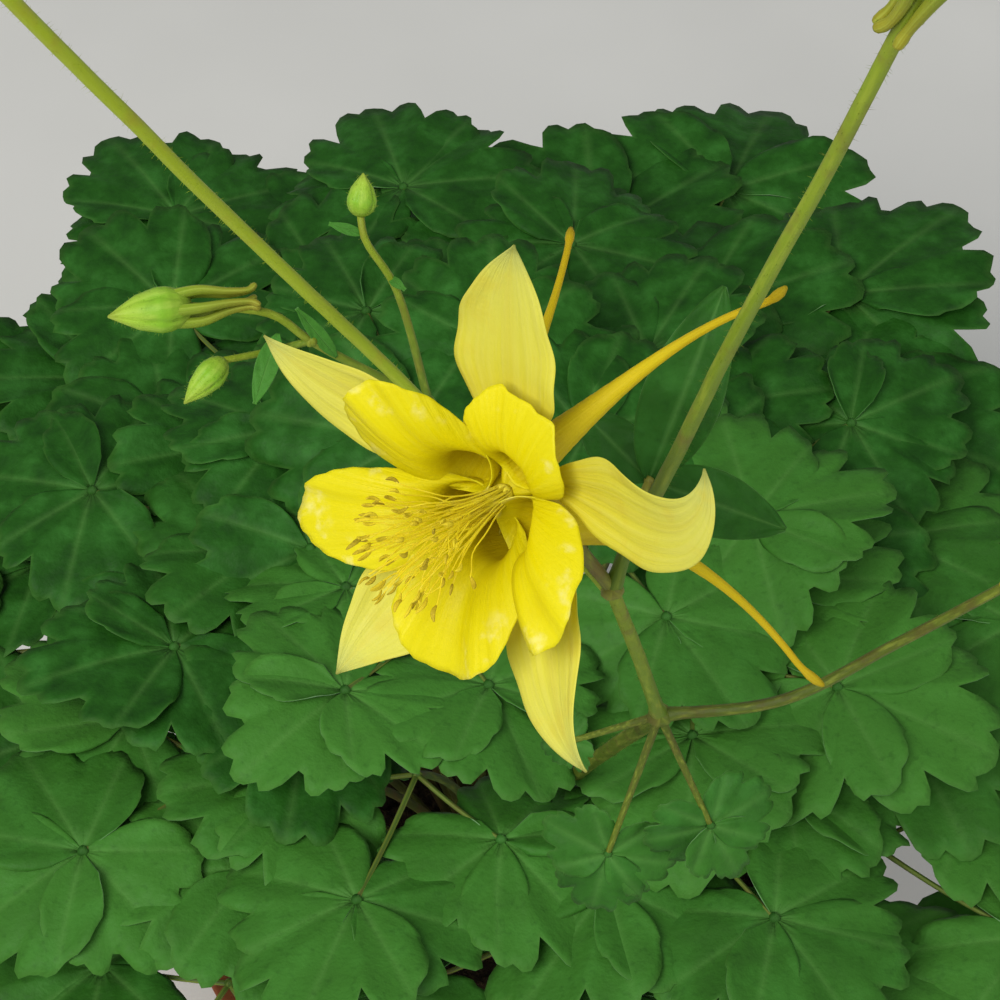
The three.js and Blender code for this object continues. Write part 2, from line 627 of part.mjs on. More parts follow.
// A smooth oval leaflet from a point to its tip, face up.
function ovalLeaflet(from, to, half, lookUp) {
  const axis = to.clone().sub(from);
  const side = crossed(axis, lookUp);
  const up = crossed(side, axis);
  const grid = OVAL.shares.map((u) => {
    const width = Math.max(OVAL.narrowest, half * Math.sin(Math.PI * u ** 0.85) ** 0.7);
    const centre = offset(from, axis, u).addScaledVector(up, OVAL.arch * Math.sin(Math.PI * u));
    const edge = (sign) => offset(centre, side, sign * width).addScaledVector(up, OVAL.dish * width);
    return [edge(-1), centre, edge(1)];
  });
  return sheet(grid, LEAF_THICKNESS);
}

function trefoil(centre, forward, up, radius) {
  const side = crossed(up, forward);
  const place = (turn, share, lift) => {
    const x = radius * share * Math.cos(radians(turn));
    const y = radius * share * Math.sin(radians(turn));
    const z = lift + TREFOIL.dish * radius * share;
    return offset(centre, forward, x).addScaledVector(side, y).addScaledVector(up, z);
  };
  const rim = (lift) => TREFOIL_OUTLINE.map(([turn, share]) => place(turn, share, lift));
  const hub = (lift) => [place(0, TREFOIL.hub, lift)];
  const half = LEAF_THICKNESS / 2;
  return loft([hub(-half), rim(-half), rim(half), hub(half)]);
}

// The three stalked leaflet groups at the end of a leaf stalk.
function leafBlade(end, forward, up, size) {
  const pieces = [];
  for (const turn of [-TREFOIL.sideTurn, 0, TREFOIL.sideTurn]) {
    const heading = turned(forward, up, turn);
    const reach = size * (turn ? TREFOIL.sideStalk : TREFOIL.middleStalk);
    const droop = crossed(heading, up);
    const joint = offset(end, heading, reach).addScaledVector(up, TREFOIL.rise * reach);
    const face = turned(up, droop, -TREFOIL.droop);
    const ahead = turned(heading, droop, -TREFOIL.droop);
    pieces.push(tube([end, joint], TREFOIL.stalkRadii, 1, 4));
    pieces.push(trefoil(joint, ahead, face, size * TREFOIL.radius));
  }
  return joined(pieces);
}

// Basal leaves stand in a golden-angle spiral, the youngest innermost. A stalk bends along a round arc.
function basalLeaf(index) {
  const age = index / (LEAVES.count - 1);
  const aged = (quality) => THREE.MathUtils.lerp(LEAVES.young[quality], LEAVES.old[quality], age);
  const outward = outwardAt(LEAVES.firstTurn + LEAVES.goldenTurn * index);
  const up = new THREE.Vector3(0, 0, 1);
  const length = aged('length') - LEAVES.dip * (Math.sqrt(age) - age);
  const start = radians(aged('start'));
  const swing = radians(aged('end')) - start;
  const ring = LEAVES.ring * Math.sqrt((index + 1.5) / (LEAVES.count + 1.5));
  const base = outward.clone().multiplyScalar(ring).setZ(SOIL_TOP + LEAVES.sunk);
  const at = (u) => {
    const out = (length * (Math.sin(start + swing * u) - Math.sin(start))) / swing;
    const rise = (-length * (Math.cos(start + swing * u) - Math.cos(start))) / swing;
    return offset(base, outward, out).addScaledVector(up, rise);
  };
  const stalk = tube([0, 0.25, 0.5, 0.75, 1].map(at), LEAVES.stalkRadii, 4, 5);
  const across = crossed(outward, up);
  const forward = turned(outward, across, aged('tilt'));
  return joined([stalk, leafBlade(at(1), forward, crossed(across, forward), aged('size'))]);
}

function upperBractBody() {
  const lookUp = onSlope(0, 0, 1).sub(FLOWER_CENTRE);
  const stalk = tube([UPPER_FORK, onSlope(21, -5, -57), BRACT_JOINT], [KNOBS.bract, 0.7], 3, 5);
  const leaflets = UPPER_LEAFLETS.map(({ to, half }) => ovalLeaflet(BRACT_JOINT, to, half, lookUp));
  return joined([knob(UPPER_FORK, KNOBS.upperSheath), stalk, knob(BRACT_JOINT, KNOBS.bract), ...leaflets]);
}

function lowerBractBody() {
  const lookUp = onSlope(0, 0, 1).sub(FLOWER_CENTRE);
  const parts = LOWER_LEAFLETS.flatMap(({ to, half }) => {
    const ahead = to.clone().sub(LOWER_FORK).normalize();
    const face = crossed(ahead, crossed(lookUp, ahead));
    return [tube([LOWER_FORK, to], [0.8, 0.55], 2, 5), trefoil(to, ahead, face, half)];
  });
  return joined([knob(LOWER_FORK, KNOBS.lowerSheath), ...parts]);
}

// ---------------------------------------------------------------- materials
function material(color, roughness) {
  return new THREE.MeshStandardMaterial({ color, roughness, metalness: 0 });
}

const CLAY = material('#b4683f', 0.85);
const SOIL = material('#35271d', 0.95);
const ROOT = material('#5b4632', 0.9);
const STEM = material('#7d8a3a', 0.6);
const STALK = material('#8f8a3c', 0.6);
const LEAF = material('#2c6b3a', 0.55);
const SEPAL_YELLOW = material('#f2e25a', 0.45);
const PETAL_YELLOW = material('#f6d90f', 0.4);
const STAMEN_GOLD = material('#d3b528', 0.5);
const PISTIL_YELLOW = material('#d9d04e', 0.5);
const BUD_LIME = material('#a8cc2f', 0.5);

// ---------------------------------------------------------------- the plant
const plant = new THREE.Group();
const flower = new THREE.Group();
flower.applyMatrix4(flowerFrame());
plant.add(flower);

function addPiece(group, name, body, look) {
  const { numProp, vertProperties, triVerts } = body.getMesh();
  const geometry = new THREE.BufferGeometry();
  const position = new Float32Array((vertProperties.length / numProp) * 3);
  for (let i = 0; i * numProp < vertProperties.length; i += 1) {
    position.set(vertProperties.subarray(i * numProp, i * numProp + 3), i * 3);
  }
  geometry.setAttribute('position', new THREE.BufferAttribute(position, 3));
  geometry.setIndex(Array.from(triVerts));
  geometry.computeVertexNormals();
  const mesh = new THREE.Mesh(geometry, look);
  mesh.name = name;
  group.add(mesh);
}

function addHolder() {
  addPiece(plant, 'pot', potBody(), CLAY);
  addPiece(plant, 'soil', soilBody(), SOIL);
  addPiece(plant, 'rootstock', rootstockBody(), ROOT);
}

function addFlower() {
  const cut = [];
  PETALS.forEach((petal, i) => {
    addPiece(flower, `petal_${i + 1}`, clearOf(petalBody(petal), cut), PETAL_YELLOW);
    cut.push(petalBody(petal), petalBody(petal, CLEARANCE));
  });
  SEPALS.forEach((sepal, i) => {
    const body = clearOf(sheet(sepalGrid(sepal), SEPAL_THICKNESS), cut);
    addPiece(flower, `sepal_${i + 1}`, body, SEPAL_YELLOW);
    cut.push(sheet(sepalGrid(sepal), SEPAL_THICKNESS + 2 * CLEARANCE));
  });
  addPiece(flower, 'stamens', stamensBody(), STAMEN_GOLD);
  addPiece(flower, 'pistils', pistilsBody(), PISTIL_YELLOW);
}

// Each piece at a fork is cut clear of the pieces that were set before it.
function addStems() {
  const grow = CLEARANCE;
  const set = [rootstockBody(grow)];
  const place = (name, body, wider, look) => {
    addPiece(plant, name, clearOf(body, set), look);
    set.push(wider);
  };
  const lower = (extra) => joined([stemBody(STEMS.lower, extra), knob(LOWER_FORK, KNOBS.lower, extra)]);
  const upper = (extra) => joined([stemBody(STEMS.upper, extra), knob(UPPER_FORK, KNOBS.upper, extra)]);
  const budStalk = (extra) => ({ route, radii, steps }) => tube(route, radii, steps, 5, extra);
  const budding = (extra) => joined([
    stemBody(STEMS.bud, extra),
    ...BUD_STALKS.map(budStalk(extra)),
    knob(BUD_FORK, KNOBS.bud, extra),
    knob(BUD_PAIR_FORK, KNOBS.budPair, extra),
  ]);
  place('lower_stem', lower(0), lower(grow), STEM);
  place('upper_stem', upper(0), upper(grow), STEM);
  place('left_branch', stemBody(STEMS.left), stemBody(STEMS.left, grow), STEM);
  place('right_branch', stemBody(STEMS.right), stemBody(STEMS.right, grow), STEM);
  place('side_branch', stemBody(STEMS.side), stemBody(STEMS.side, grow), STALK);
  place('flower_stalk', flowerStalkBody(), flowerStalkBody(grow), STALK);
  place('bud_branch', budding(0), budding(grow), STEM);
  BUDS.forEach((bud) => place(bud.name, budBody(bud), budBody(bud, grow), BUD_LIME));
  place('upper_bract', upperBractBody(), upperBractBody(), LEAF);
  place('lower_bract', lowerBractBody(), lowerBractBody(), LEAF);
  const leafPlaces = [...Array(LEAVES.count).keys()].filter((each) => each !== LEAVES.stemPlace);
  leafPlaces.forEach((leafPlace, i) => {
    addPiece(plant, `basal_leaf_${i + 1}`, clearOf(basalLeaf(leafPlace), set), LEAF);
  });
}

addHolder();
addFlower();
addStems();

export default plant;
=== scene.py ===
import math

import bpy
import numpy as np
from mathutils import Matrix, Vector


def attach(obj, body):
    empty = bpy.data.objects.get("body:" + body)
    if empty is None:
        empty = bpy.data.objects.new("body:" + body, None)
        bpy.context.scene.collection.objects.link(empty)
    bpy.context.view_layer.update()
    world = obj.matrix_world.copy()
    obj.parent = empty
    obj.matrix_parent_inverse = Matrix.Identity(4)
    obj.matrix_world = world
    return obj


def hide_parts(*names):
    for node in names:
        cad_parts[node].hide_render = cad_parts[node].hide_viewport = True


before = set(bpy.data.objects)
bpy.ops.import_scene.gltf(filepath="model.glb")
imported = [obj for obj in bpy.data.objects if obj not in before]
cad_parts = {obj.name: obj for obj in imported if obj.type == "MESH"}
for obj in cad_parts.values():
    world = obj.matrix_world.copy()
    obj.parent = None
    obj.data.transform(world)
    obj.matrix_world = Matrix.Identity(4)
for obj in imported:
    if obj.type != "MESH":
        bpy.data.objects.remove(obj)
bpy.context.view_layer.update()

MM = 0.001  # lengths here are in millimetres, and those of the finished pieces in metres
RANDOM = np.random.default_rng(7)

# ---- driving dimensions
FLOWER_CENTRE = np.array([0.0, -170.0, 560.0])
FLOWER_HEADING = math.radians(-130.6)
FLOWER_RISE = math.radians(21)
SLOPE = math.radians(52)

# The mouth of a petal: its place on the flower's ring, half its size both ways, and the shape of its rim.
MOUTH = dict(ring=6.2, radial=3.6, sideways=3.45, lip=1.3, flare=0.5, narrowing=0.1)
# A spur: steps along it, tip radius, taper, bulb at its tip, half its wall, and its hollow and hooked shares.
SPUR = dict(steps=90, tip=0.36, taper=2.9, bulb=0.22, skin=0.16, hollow=0.5, hooked=0.1)
# Where the sepals begin, outwards and behind the flower's centre, and the share of their width at the claw.
SEPAL_ROOT = dict(start=2.75, behind=-3.5, claw=0.13)
SEPALS = [
    dict(turn=105, length=39.5, half=8.8, lift=13, bend=0, tip_bend=11,
         sway=-10, tip_sway=-12, twist=0, tip_twist=20, widest=0.44, cup=0.13),
    dict(turn=40, length=52.5, half=7.4, lift=14, bend=34, tip_bend=-55,
         sway=-38, tip_sway=112, twist=0, tip_twist=30, widest=0.5, cup=0.14),
    dict(turn=-39, length=40, half=8.4, lift=17, bend=30, tip_bend=-40,
         sway=-3, tip_sway=30, twist=2, tip_twist=36, widest=0.5, cup=0.11),
    dict(turn=-109, length=38, half=7.6, lift=19, bend=20, tip_bend=0, behind=-4.8,
         sway=-2, tip_sway=10, twist=-8, tip_twist=-3, widest=0.54, cup=0.12),
    dict(turn=-178, length=41.5, half=6.7, lift=19, bend=0, tip_bend=-7, behind=-6.3,
         sway=-11, tip_sway=-15, twist=-12, tip_twist=3, widest=0.53, cup=0.13),
]
PETALS = [
    dict(turn=160, blade=21, half=7.7, rise=22, twist=-4, sway=-17, cup=0.22, curl=0.7, fold=0.03,
         blunt=0.9, lip=3.2, spur=dict(length=53, spread=18, bend=20, sway=-10, hook=10)),
    dict(turn=74.7, blade=14, half=8.9, rise=58.8, twist=12, sway=14, cup=-0.3, curl=0, fold=0.36,
         blunt=0.86, reflex=92,
         spur=dict(length=47, spread=28, bend=59, late_bend=-42, sway=-35, late_sway=-20, hook=30)),
    dict(turn=-7, blade=20.5, half=7.9, rise=29, twist=-7, sway=-12, cup=-0.3, curl=0.34, fold=0.26,
         blunt=0.8, lip=5,
         spur=dict(length=54.5, spread=22, bend=62, sway=-27, late_sway=19, hook=30)),
    dict(turn=-73, blade=21, half=9.6, rise=32, twist=-8, sway=-1, cup=0.55, curl=0.2, fold=0.15,
         blunt=0.75, spur=dict(length=52, spread=20, bend=10, sway=0, hook=30)),
    dict(turn=-138, blade=24.5, half=7.4, rise=23, twist=10, sway=-13, cup=0.5, curl=0.35, fold=0.2,
         blunt=0.88, spur=dict(length=52, spread=20, bend=30, sway=0, hook=30)),
]


# ---- vectors
def unit(vectors):
    """The vectors at length 1."""
    vectors = np.asarray(vectors, float)
    return vectors / np.maximum(np.linalg.norm(vectors, axis=-1, keepdims=True), 1e-12)


def spun(vectors, axis, degrees):
    """The vectors turned about a unit axis, by one angle or by one for each."""
    angle = np.radians(np.asarray(degrees, float))[..., None]
    vectors = np.asarray(vectors, float)
    along = np.sum(vectors * axis, axis=-1, keepdims=True)
    return (vectors * np.cos(angle) + np.cross(axis, vectors) * np.sin(angle)
            + axis * along * (1 - np.cos(angle)))


def on_slope(right, up, out):
    """A place given by how far right, up and out of the flower it is, on a slope that faces the view."""
    y = up * math.sin(SLOPE) - out * math.cos(SLOPE)
    z = up * math.cos(SLOPE) + out * math.sin(SLOPE)
    return FLOWER_CENTRE + np.array([right, y, z])


def flower_axes():
    """The flower's own directions: right, up and the way it faces."""
    level = np.array([math.cos(FLOWER_HEADING), math.sin(FLOWER_HEADING), 0]) * math.cos(FLOWER_RISE)
    facing = level + np.array([0, 0, math.sin(FLOWER_RISE)])
    right = unit(np.cross([0, 0, 1], facing))
    return np.stack([right, np.cross(facing, right), facing])


FLOWER_AXES = flower_axes()
UP = np.array([0, 0, 1.0])
FORWARD = UP  # the way the flower faces, in its own frame
TOWARDS_VIEW = on_slope(0, 0, 1) - FLOWER_CENTRE


def in_flower(points):
    """Points of the flower's own frame (right, up, the way it faces) in the plant's frame."""
    return np.asarray(points, float) @ FLOWER_AXES + FLOWER_CENTRE


def outward_at(turn):
    """The direction away from an axis, at so many degrees round it."""
    angle = np.radians(turn)
    return np.stack([np.cos(angle), np.sin(angle), np.zeros_like(angle)], -1)


def angles_round(sides):
    """Even angles all round, from 0, in radians."""
    return 2 * math.pi * np.arange(sides) / sides


def smoothstep(value, low, high):
    """A share that goes smoothly from 0 to 1 between two values."""
    share = np.clip((value - low) / (high - low), 0, 1)
    return share * share * (3 - 2 * share)


def waves(where, seed):
    """Smooth random relief between about -1 and 1, from a few crossed waves."""
    random = np.random.default_rng(seed)
    total = np.zeros(where.shape[:-1])
    for octave in range(4):
        for _ in range(3):
            direction = unit(random.normal(size=where.shape[-1])) * 1.9 ** octave
            total += np.sin(where @ direction + random.uniform(0, 2 * math.pi)) / (2.2 * 1.7 ** octave)
    return total


# ---- closed skins
class Parts:
    """The closed skins of one piece, with the numbers that its materials read."""

    def __init__(self):
        self.points, self.quads, self.triangles = [], [], []
        self.quad_slots, self.triangle_slots = [], []
        self.layers = {"along": [], "across": [], "tone": []}
        self.count = 0

    def add(self, points, quads, triangles, along=0.0, across=0.0, tone=0.0, slot=0):
        points = np.asarray(points, float).reshape(-1, 3)
        self.points.append(points)
        for faces, slots, new, sides in ((self.quads, self.quad_slots, quads, 4),
                                         (self.triangles, self.triangle_slots, triangles, 3)):
            new = np.asarray(new, int).reshape(-1, sides)
            faces.append(new + self.count)
            slots.append(np.full(len(new), slot))
        for key, values in (("along", along), ("across", across), ("tone", tone)):
            self.layers[key].append(np.broadcast_to(np.asarray(values, float).ravel(), len(points)))
        self.count += len(points)

    def piece(self, name, materials, finish, *nodes):
        """The skins as one piece, which stands for the named nodes."""
        points = np.concatenate(self.points) * MM
        quads, triangles = np.concatenate(self.quads), np.concatenate(self.triangles)
        mesh = bpy.data.meshes.new(name)
        mesh.vertices.add(len(points))
        mesh.vertices.foreach_set("co", points.ravel())
        mesh.loops.add(quads.size + triangles.size)
        mesh.loops.foreach_set("vertex_index", np.concatenate([quads.ravel(), triangles.ravel()]))
        mesh.polygons.add(len(quads) + len(triangles))
        starts = np.concatenate([np.arange(len(quads)) * 4, quads.size + np.arange(len(triangles)) * 3])
        mesh.polygons.foreach_set("loop_start", starts)
        mesh.polygons.foreach_set("material_index", np.concatenate(self.quad_slots + self.triangle_slots))
        mesh.polygons.foreach_set("use_smooth", np.ones(len(starts), bool))
        mesh.update(calc_edges=True)
        for key, values in self.layers.items():
            layer = mesh.attributes.new(key, "FLOAT", "POINT")
            layer.data.foreach_set("value", np.concatenate(values).astype(np.float32))
        for look in materials:
            mesh.materials.append(look)
        piece = bpy.data.objects.new(name, mesh)
        bpy.context.scene.collection.objects.link(piece)
        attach(piece, "root")
        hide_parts(*nodes)
        return piece


def outward_faces(points, quads, triangles):
    """The faces of one closed skin, turned over if they look inward."""
    corners = [quads[:, [0, 1, 2]], quads[:, [0, 2, 3]]] if len(quads) else []
    corners = np.concatenate([*corners, triangles])
    a, b, c = (points[corners[:, i]] for i in range(3))
    if np.sum(a * np.cross(b, c)) < 0:
        return quads[:, ::-1], triangles[:, ::-1]
    return quads, triangles


def add_rings(parts, rings, first, last, along=0.0, across=None, tone=0.0, slot=0):
    """A closed skin over rings of points, with a pole at each end."""
    rings = np.asarray(rings, float)
    rows, sides = rings.shape[:2]
    points = np.concatenate([rings.reshape(-1, 3), [first, last]])
    i, j = np.meshgrid(np.arange(rows - 1), np.arange(sides), indexing="ij")
    k = (j + 1) % sides
    quads = np.stack([i * sides + j, i * sides + k, (i + 1) * sides + k, (i + 1) * sides + j], -1)
    j = np.arange(sides)
    k = (j + 1) % sides
    end = (rows - 1) * sides
    triangles = np.concatenate([
        np.stack([k, j, np.full(sides, rows * sides)], -1),
        np.stack([end + j, end + k, np.full(sides, rows * sides + 1)], -1),
    ])
    quads, triangles = outward_faces(points - points.mean(0), quads.reshape(-1, 4), triangles)

    def spread(values, default):
        values = np.asarray(default if values is None else values, float)
        if values.ndim < 2:
            values = np.repeat(np.broadcast_to(values, rows)[:, None], sides, 1)
        return np.append(values.ravel(), [values[0].mean(), values[-1].mean()])

    around = np.tile(np.arange(sides) / sides, (rows, 1))
    parts.add(points, quads, triangles, spread(along, 0), spread(across, around), spread(tone, 0), slot)


def add_sheet(parts, grid, thickness, along=0.0, across=0.0, tone=0.0, slot=0, under_tone=0.0):
    """A closed thin sheet over a grid of points. Its thickness may differ from point to point."""
    grid = np.asarray(grid, float)
    rows, columns = grid.shape[:2]
    normals = unit(np.cross(np.gradient(grid, axis=0), np.gradient(grid, axis=1)))
    half = np.broadcast_to(np.asarray(thickness, float), (rows, columns))[..., None] / 2
    points = np.concatenate([(grid + normals * half).reshape(-1, 3), (grid - normals * half).reshape(-1, 3)])
    under = rows * columns
    i, j = np.meshgrid(np.arange(rows - 1), np.arange(columns - 1), indexing="ij")
    corner = (i * columns + j).reshape(-1, 1)
    top = corner + [0, columns, columns + 1, 1]
    rim = np.concatenate([
        np.arange(columns), np.arange(1, rows) * columns + columns - 1,
        (rows - 1) * columns + np.arange(columns - 2, -1, -1), np.arange(rows - 2, 0, -1) * columns,
    ])
    after = np.roll(rim, -1)
    edge = np.stack([rim, after, under + after, under + rim], -1)
    quads = np.concatenate([top, (top + under)[:, ::-1], edge])

    def both(values, extra=0.0):
        values = np.broadcast_to(np.asarray(values, float), (rows, columns)).ravel()
        return np.concatenate([values, values + extra])

    parts.add(points, quads, np.zeros((0, 3)), both(along), both(across), both(tone, under_tone), slot)


def smooth_route(knots, steps):
    """Points at even steps along a centripetal Catmull-Rom curve through the knots."""
    knots = np.asarray(knots, float)
    padded = np.vstack([2 * knots[0] - knots[1], knots, 2 * knots[-1] - knots[-2]])
    fine = []
    t = np.linspace(0, 1, 30, endpoint=False)[:, None]
    for p0, p1, p2, p3 in zip(padded, padded[1:], padded[2:], padded[3:]):
        d0, d1, d2 = (np.linalg.norm(b - a) ** 0.5 for a, b in ((p0, p1), (p1, p2), (p2, p3)))
        m1 = ((p1 - p0) / d0 - (p2 - p0) / (d0 + d1) + (p2 - p1) / d1) * d1
        m2 = ((p2 - p1) / d1 - (p3 - p1) / (d1 + d2) + (p3 - p2) / d2) * d1
        fine.append(p1 + m1 * t + (3 * (p2 - p1) - 2 * m1 - m2) * t**2 + (2 * (p1 - p2) + m1 + m2) * t**3)
    fine = np.vstack([*fine, knots[-1]])
    length = np.append(0, np.cumsum(np.linalg.norm(np.diff(fine, axis=0), axis=1)))
    at = np.linspace(0, length[-1], steps + 1)
    return np.stack([np.interp(at, length, fine[:, axis]) for axis in range(3)], -1)


def carried_frames(points):
    """Tangents of a line and two directions across it, which turn as little as they can."""
    tangents = unit(np.gradient(points, axis=0))
    normal = unit(np.cross(tangents[0], np.eye(3)[np.argmin(np.abs(tangents[0]))]))
    normals = []
    for tangent in tangents:
        normal = unit(normal - tangent * np.dot(normal, tangent))
        normals.append(normal)
    normals = np.array(normals)
    return tangents, normals, np.cross(tangents, normals)


def rays_round(points, sides):
    """Tangents of a line, and the directions all round it at each point."""
    tangents, normals, seconds = carried_frames(points)
    angle = angles_round(sides)
    ray = normals[:, None] * np.cos(angle)[None, :, None] + seconds[:, None] * np.sin(angle)[None, :, None]
    return tangents, ray


def add_stem(parts, points, radii, sides=12, ribs=0.0, along=None):
    """A round stem along a line of points, with rounded ends. Returns places for hairs."""
    points = np.asarray(points, float)
    radii = np.broadcast_to(np.asarray(radii, float), len(points))
    tangents, ray = rays_round(points, sides)
    ribbed = radii[:, None] * (1 + ribs * np.cos(5 * angles_round(sides)))[None]
    rings = points[:, None] + ray * ribbed[..., None]
    first, last = rings[0], rings[-1]
    rings = np.concatenate([
        [points[0] + (first - points[0]) * 0.7 - tangents[0] * radii[0] * 0.5], rings,
        [points[-1] + (last - points[-1]) * 0.7 + tangents[-1] * radii[-1] * 0.5]])
    share = np.linspace(0, 1, len(points)) if along is None else np.broadcast_to(along, len(points))
    share = np.concatenate([share[:1], share, share[-1:]])
    add_rings(parts, rings, points[0] - tangents[0] * radii[0] * 0.75,
              points[-1] + tangents[-1] * radii[-1] * 0.75, along=share)
    return points, tangents, ray, ribbed


def add_hairs(parts, roots, directions, length, thick=0.06, along=0.0):
    """Fine hairs, each one a slim three-sided spike."""
    roots, directions = np.asarray(roots, float), unit(directions)
    count = len(roots)
    first = unit(np.cross(directions, unit(RANDOM.normal(size=(count, 3)))))
    second = np.cross(directions, first)
    foot = roots - directions * thick
    corners = [foot + (first * math.cos(a) + second * math.sin(a)) * thick / 2 for a in (0, 2.094, 4.189)]
    lengths = np.broadcast_to(np.asarray(length, float), count)[:, None]
    points = np.stack([*corners, roots + directions * lengths], 1)
    base = 4 * np.arange(count)[:, None, None]
    faces = base + np.array([[0, 2, 1], [0, 1, 3], [1, 2, 3], [2, 0, 3]])[None]
    parts.add(points, np.zeros((0, 4)), faces, along=np.repeat(np.broadcast_to(along, count), 4))


def stem_hairs(parts, stem, density, length=0.9, thick=0.06):
    """Hairs all along a stem, at so many a millimetre."""
    points, tangents, ray, radii = stem
    reach = np.sum(np.linalg.norm(np.diff(points, axis=0), axis=1))
    count = int(reach * density)
    i = RANDOM.integers(0, len(points), count)
    j = RANDOM.integers(0, ray.shape[1], count)
    slide = RANDOM.uniform(-0.5, 0.5, (count, 1)) * reach / len(points)
    direction = unit(ray[i, j] + RANDOM.normal(scale=0.25, size=(count, 3)))
    roots = points[i] + ray[i, j] * radii[i, j][:, None] * 0.97 + tangents[i] * slide
    add_hairs(parts, roots, direction, length * RANDOM.uniform(0.5, 1.2, count), thick, i / len(points))


# ---- material nodes
def colour(code):
    """A #rrggbb colour as linear numbers."""
    values = [int(code[i:i + 2], 16) / 255 for i in (1, 3, 5)]
    return (*[v / 12.92 if v <= 0.04045 else ((v + 0.055) / 1.055) ** 2.4 for v in values], 1)


class Look:
    """A procedural material, built from a few kinds of node."""

    def __init__(self, name, specular, through=0.0):
        self.material = bpy.data.materials.new(name)
        self.material.use_nodes = True
        self.tree = self.material.node_tree
        self.shader = self.tree.nodes["Principled BSDF"]
        self.shader.inputs["Specular IOR Level"].default_value = specular
        self.place = self.tree.nodes.new("ShaderNodeTexCoord").outputs["Object"]
        self.through = None
        if through:
            self.through = self.tree.nodes.new("ShaderNodeBsdfTranslucent")
            mixer = self.tree.nodes.new("ShaderNodeMixShader")
            mixer.inputs[0].default_value = through
            self.tree.links.new(self.shader.outputs[0], mixer.inputs[1])
            self.tree.links.new(self.through.outputs[0], mixer.inputs[2])
            output = self.tree.nodes["Material Output"]
            self.tree.links.new(mixer.outputs[0], output.inputs["Surface"])

    def node(self, kind, inputs=(), **settings):
        made = self.tree.nodes.new(kind)
        for key, value in settings.items():
            setattr(made, key, value)
        for key, value in dict(inputs).items():
            if isinstance(value, bpy.types.NodeSocket):
                self.tree.links.new(value, made.inputs[key])
            else:
                made.inputs[key].default_value = value
        return made

    def layer(self, name):
        return self.node("ShaderNodeAttribute", attribute_name=name).outputs["Fac"]

    def math(self, operation, a, b=0.0):
        return self.node("ShaderNodeMath", {0: a, 1: b}, operation=operation).outputs[0]

    def between(self, value, low, high, to_low=0.0, to_high=1.0):
        """A value carried from one span to another, smoothly and without leaving it."""
        made = self.node("ShaderNodeMapRange", {0: value, 1: low, 2: high, 3: to_low, 4: to_high},
                         interpolation_type="SMOOTHSTEP")
        return made.outputs[0]

    def ramp(self, value, *stops):
        made = self.node("ShaderNodeValToRGB", {0: value})
        stretch = made.color_ramp.elements
        for index, (place, code) in enumerate(stops):
            stop = stretch[index] if index < 2 else stretch.new(place)
            stop.position = place
            stop.color = colour(code)
        return made.outputs[0]

    def mix(self, share, a, b):
        a, b = (colour(v) if isinstance(v, str) else v for v in (a, b))
        made = self.node("ShaderNodeMix", {0: share, 6: a, 7: b}, data_type="RGBA")
        return made.outputs[2]

    def over(self, body, pattern, low, high, share, tint):
        """The colour with up to that share of a tint laid over it, where the pattern is strong."""
        return self.mix(self.between(pattern, low, high, 0, share), body, tint)

    def plus(self, a, b, weight):
        return self.math("ADD", a, self.math("MULTIPLY", b, weight))

    def noise(self, size, detail, where=None):
        """Noise from 0 to 1 with features of about that size, in millimetres or in the given coordinates."""
        scale = 1 / (size * MM) if where is None else 1 / size
        made = self.node("ShaderNodeTexNoise", {"Vector": self.place if where is None else where,
                                                "Scale": scale, "Detail": detail, "Roughness": 0.55})
        return made.outputs[0]

    def lengthways(self, fine, coarse):
        """Coordinates that stretch a noise along a petal, leaf or stem."""
        made = self.node("ShaderNodeCombineXYZ", {
            0: self.math("MULTIPLY", self.layer("across"), fine),
            1: self.math("MULTIPLY", self.layer("along"), coarse),
            2: self.math("MULTIPLY", self.layer("tone"), 3.0)})
        return made.outputs[0]

    def bump(self, height, depth_mm, strength=0.6):
        made = self.node("ShaderNodeBump", {"Height": height, "Strength": strength,
                                            "Distance": depth_mm * MM})
        for shader in (self.shader, self.through):
            if shader is not None:
                self.tree.links.new(made.outputs[0], shader.inputs["Normal"])

    def paint(self, tint):
        self.tree.links.new(tint, self.shader.inputs["Base Color"])
        if self.through is not None:
            self.tree.links.new(tint, self.through.inputs["Color"])

    def gloss(self, value, low, high):
        """Roughness between two values, after a pattern."""
        self.tree.links.new(self.between(value, 0.3, 0.7, low, high), self.shader.inputs["Roughness"])


def petal_look():
    look = Look("petal_yellow", specular=0.18, through=0.45)
    streaks = look.noise(1.0, 4, look.lengthways(26, 3.0))
    patches = look.noise(6, 3)
    along = look.layer("along")
    body = look.ramp(along, (0.0, "#b09a1c"), (0.03, "#d0b418"), (0.2, "#dbc41a"), (0.42, "#e0cc10"),
                     (0.5, "#dac806"), (0.62, "#e6d802"), (0.85, "#e8dd02"), (1.0, "#e9e01a"))
    body = look.over(body, streaks, 0.35, 0.75, 0.22, "#f4ee42")
    body = look.over(body, patches, 0.5, 0.8, 0.3, "#dccc02")
    # Painted highlight: pale whitish patches on the crinkled rim near the blade's free edge.
    edge = look.math("MULTIPLY", look.between(along, 0.84, 0.97), look.between(look.noise(5, 2), 0.54, 0.66))
    painted_rim_highlight = look.math("MULTIPLY", edge, look.between(look.noise(1.3, 5), 0.3, 0.72))
    body = look.mix(look.math("MULTIPLY", painted_rim_highlight, 0.55), body, "#f6f2ac")
    look.paint(body)
    fine = look.plus(streaks, look.noise(0.7, 4), 0.5)
    look.bump(fine, 0.35, 0.5)
    look.gloss(patches, 0.38, 0.52)
    return look.material


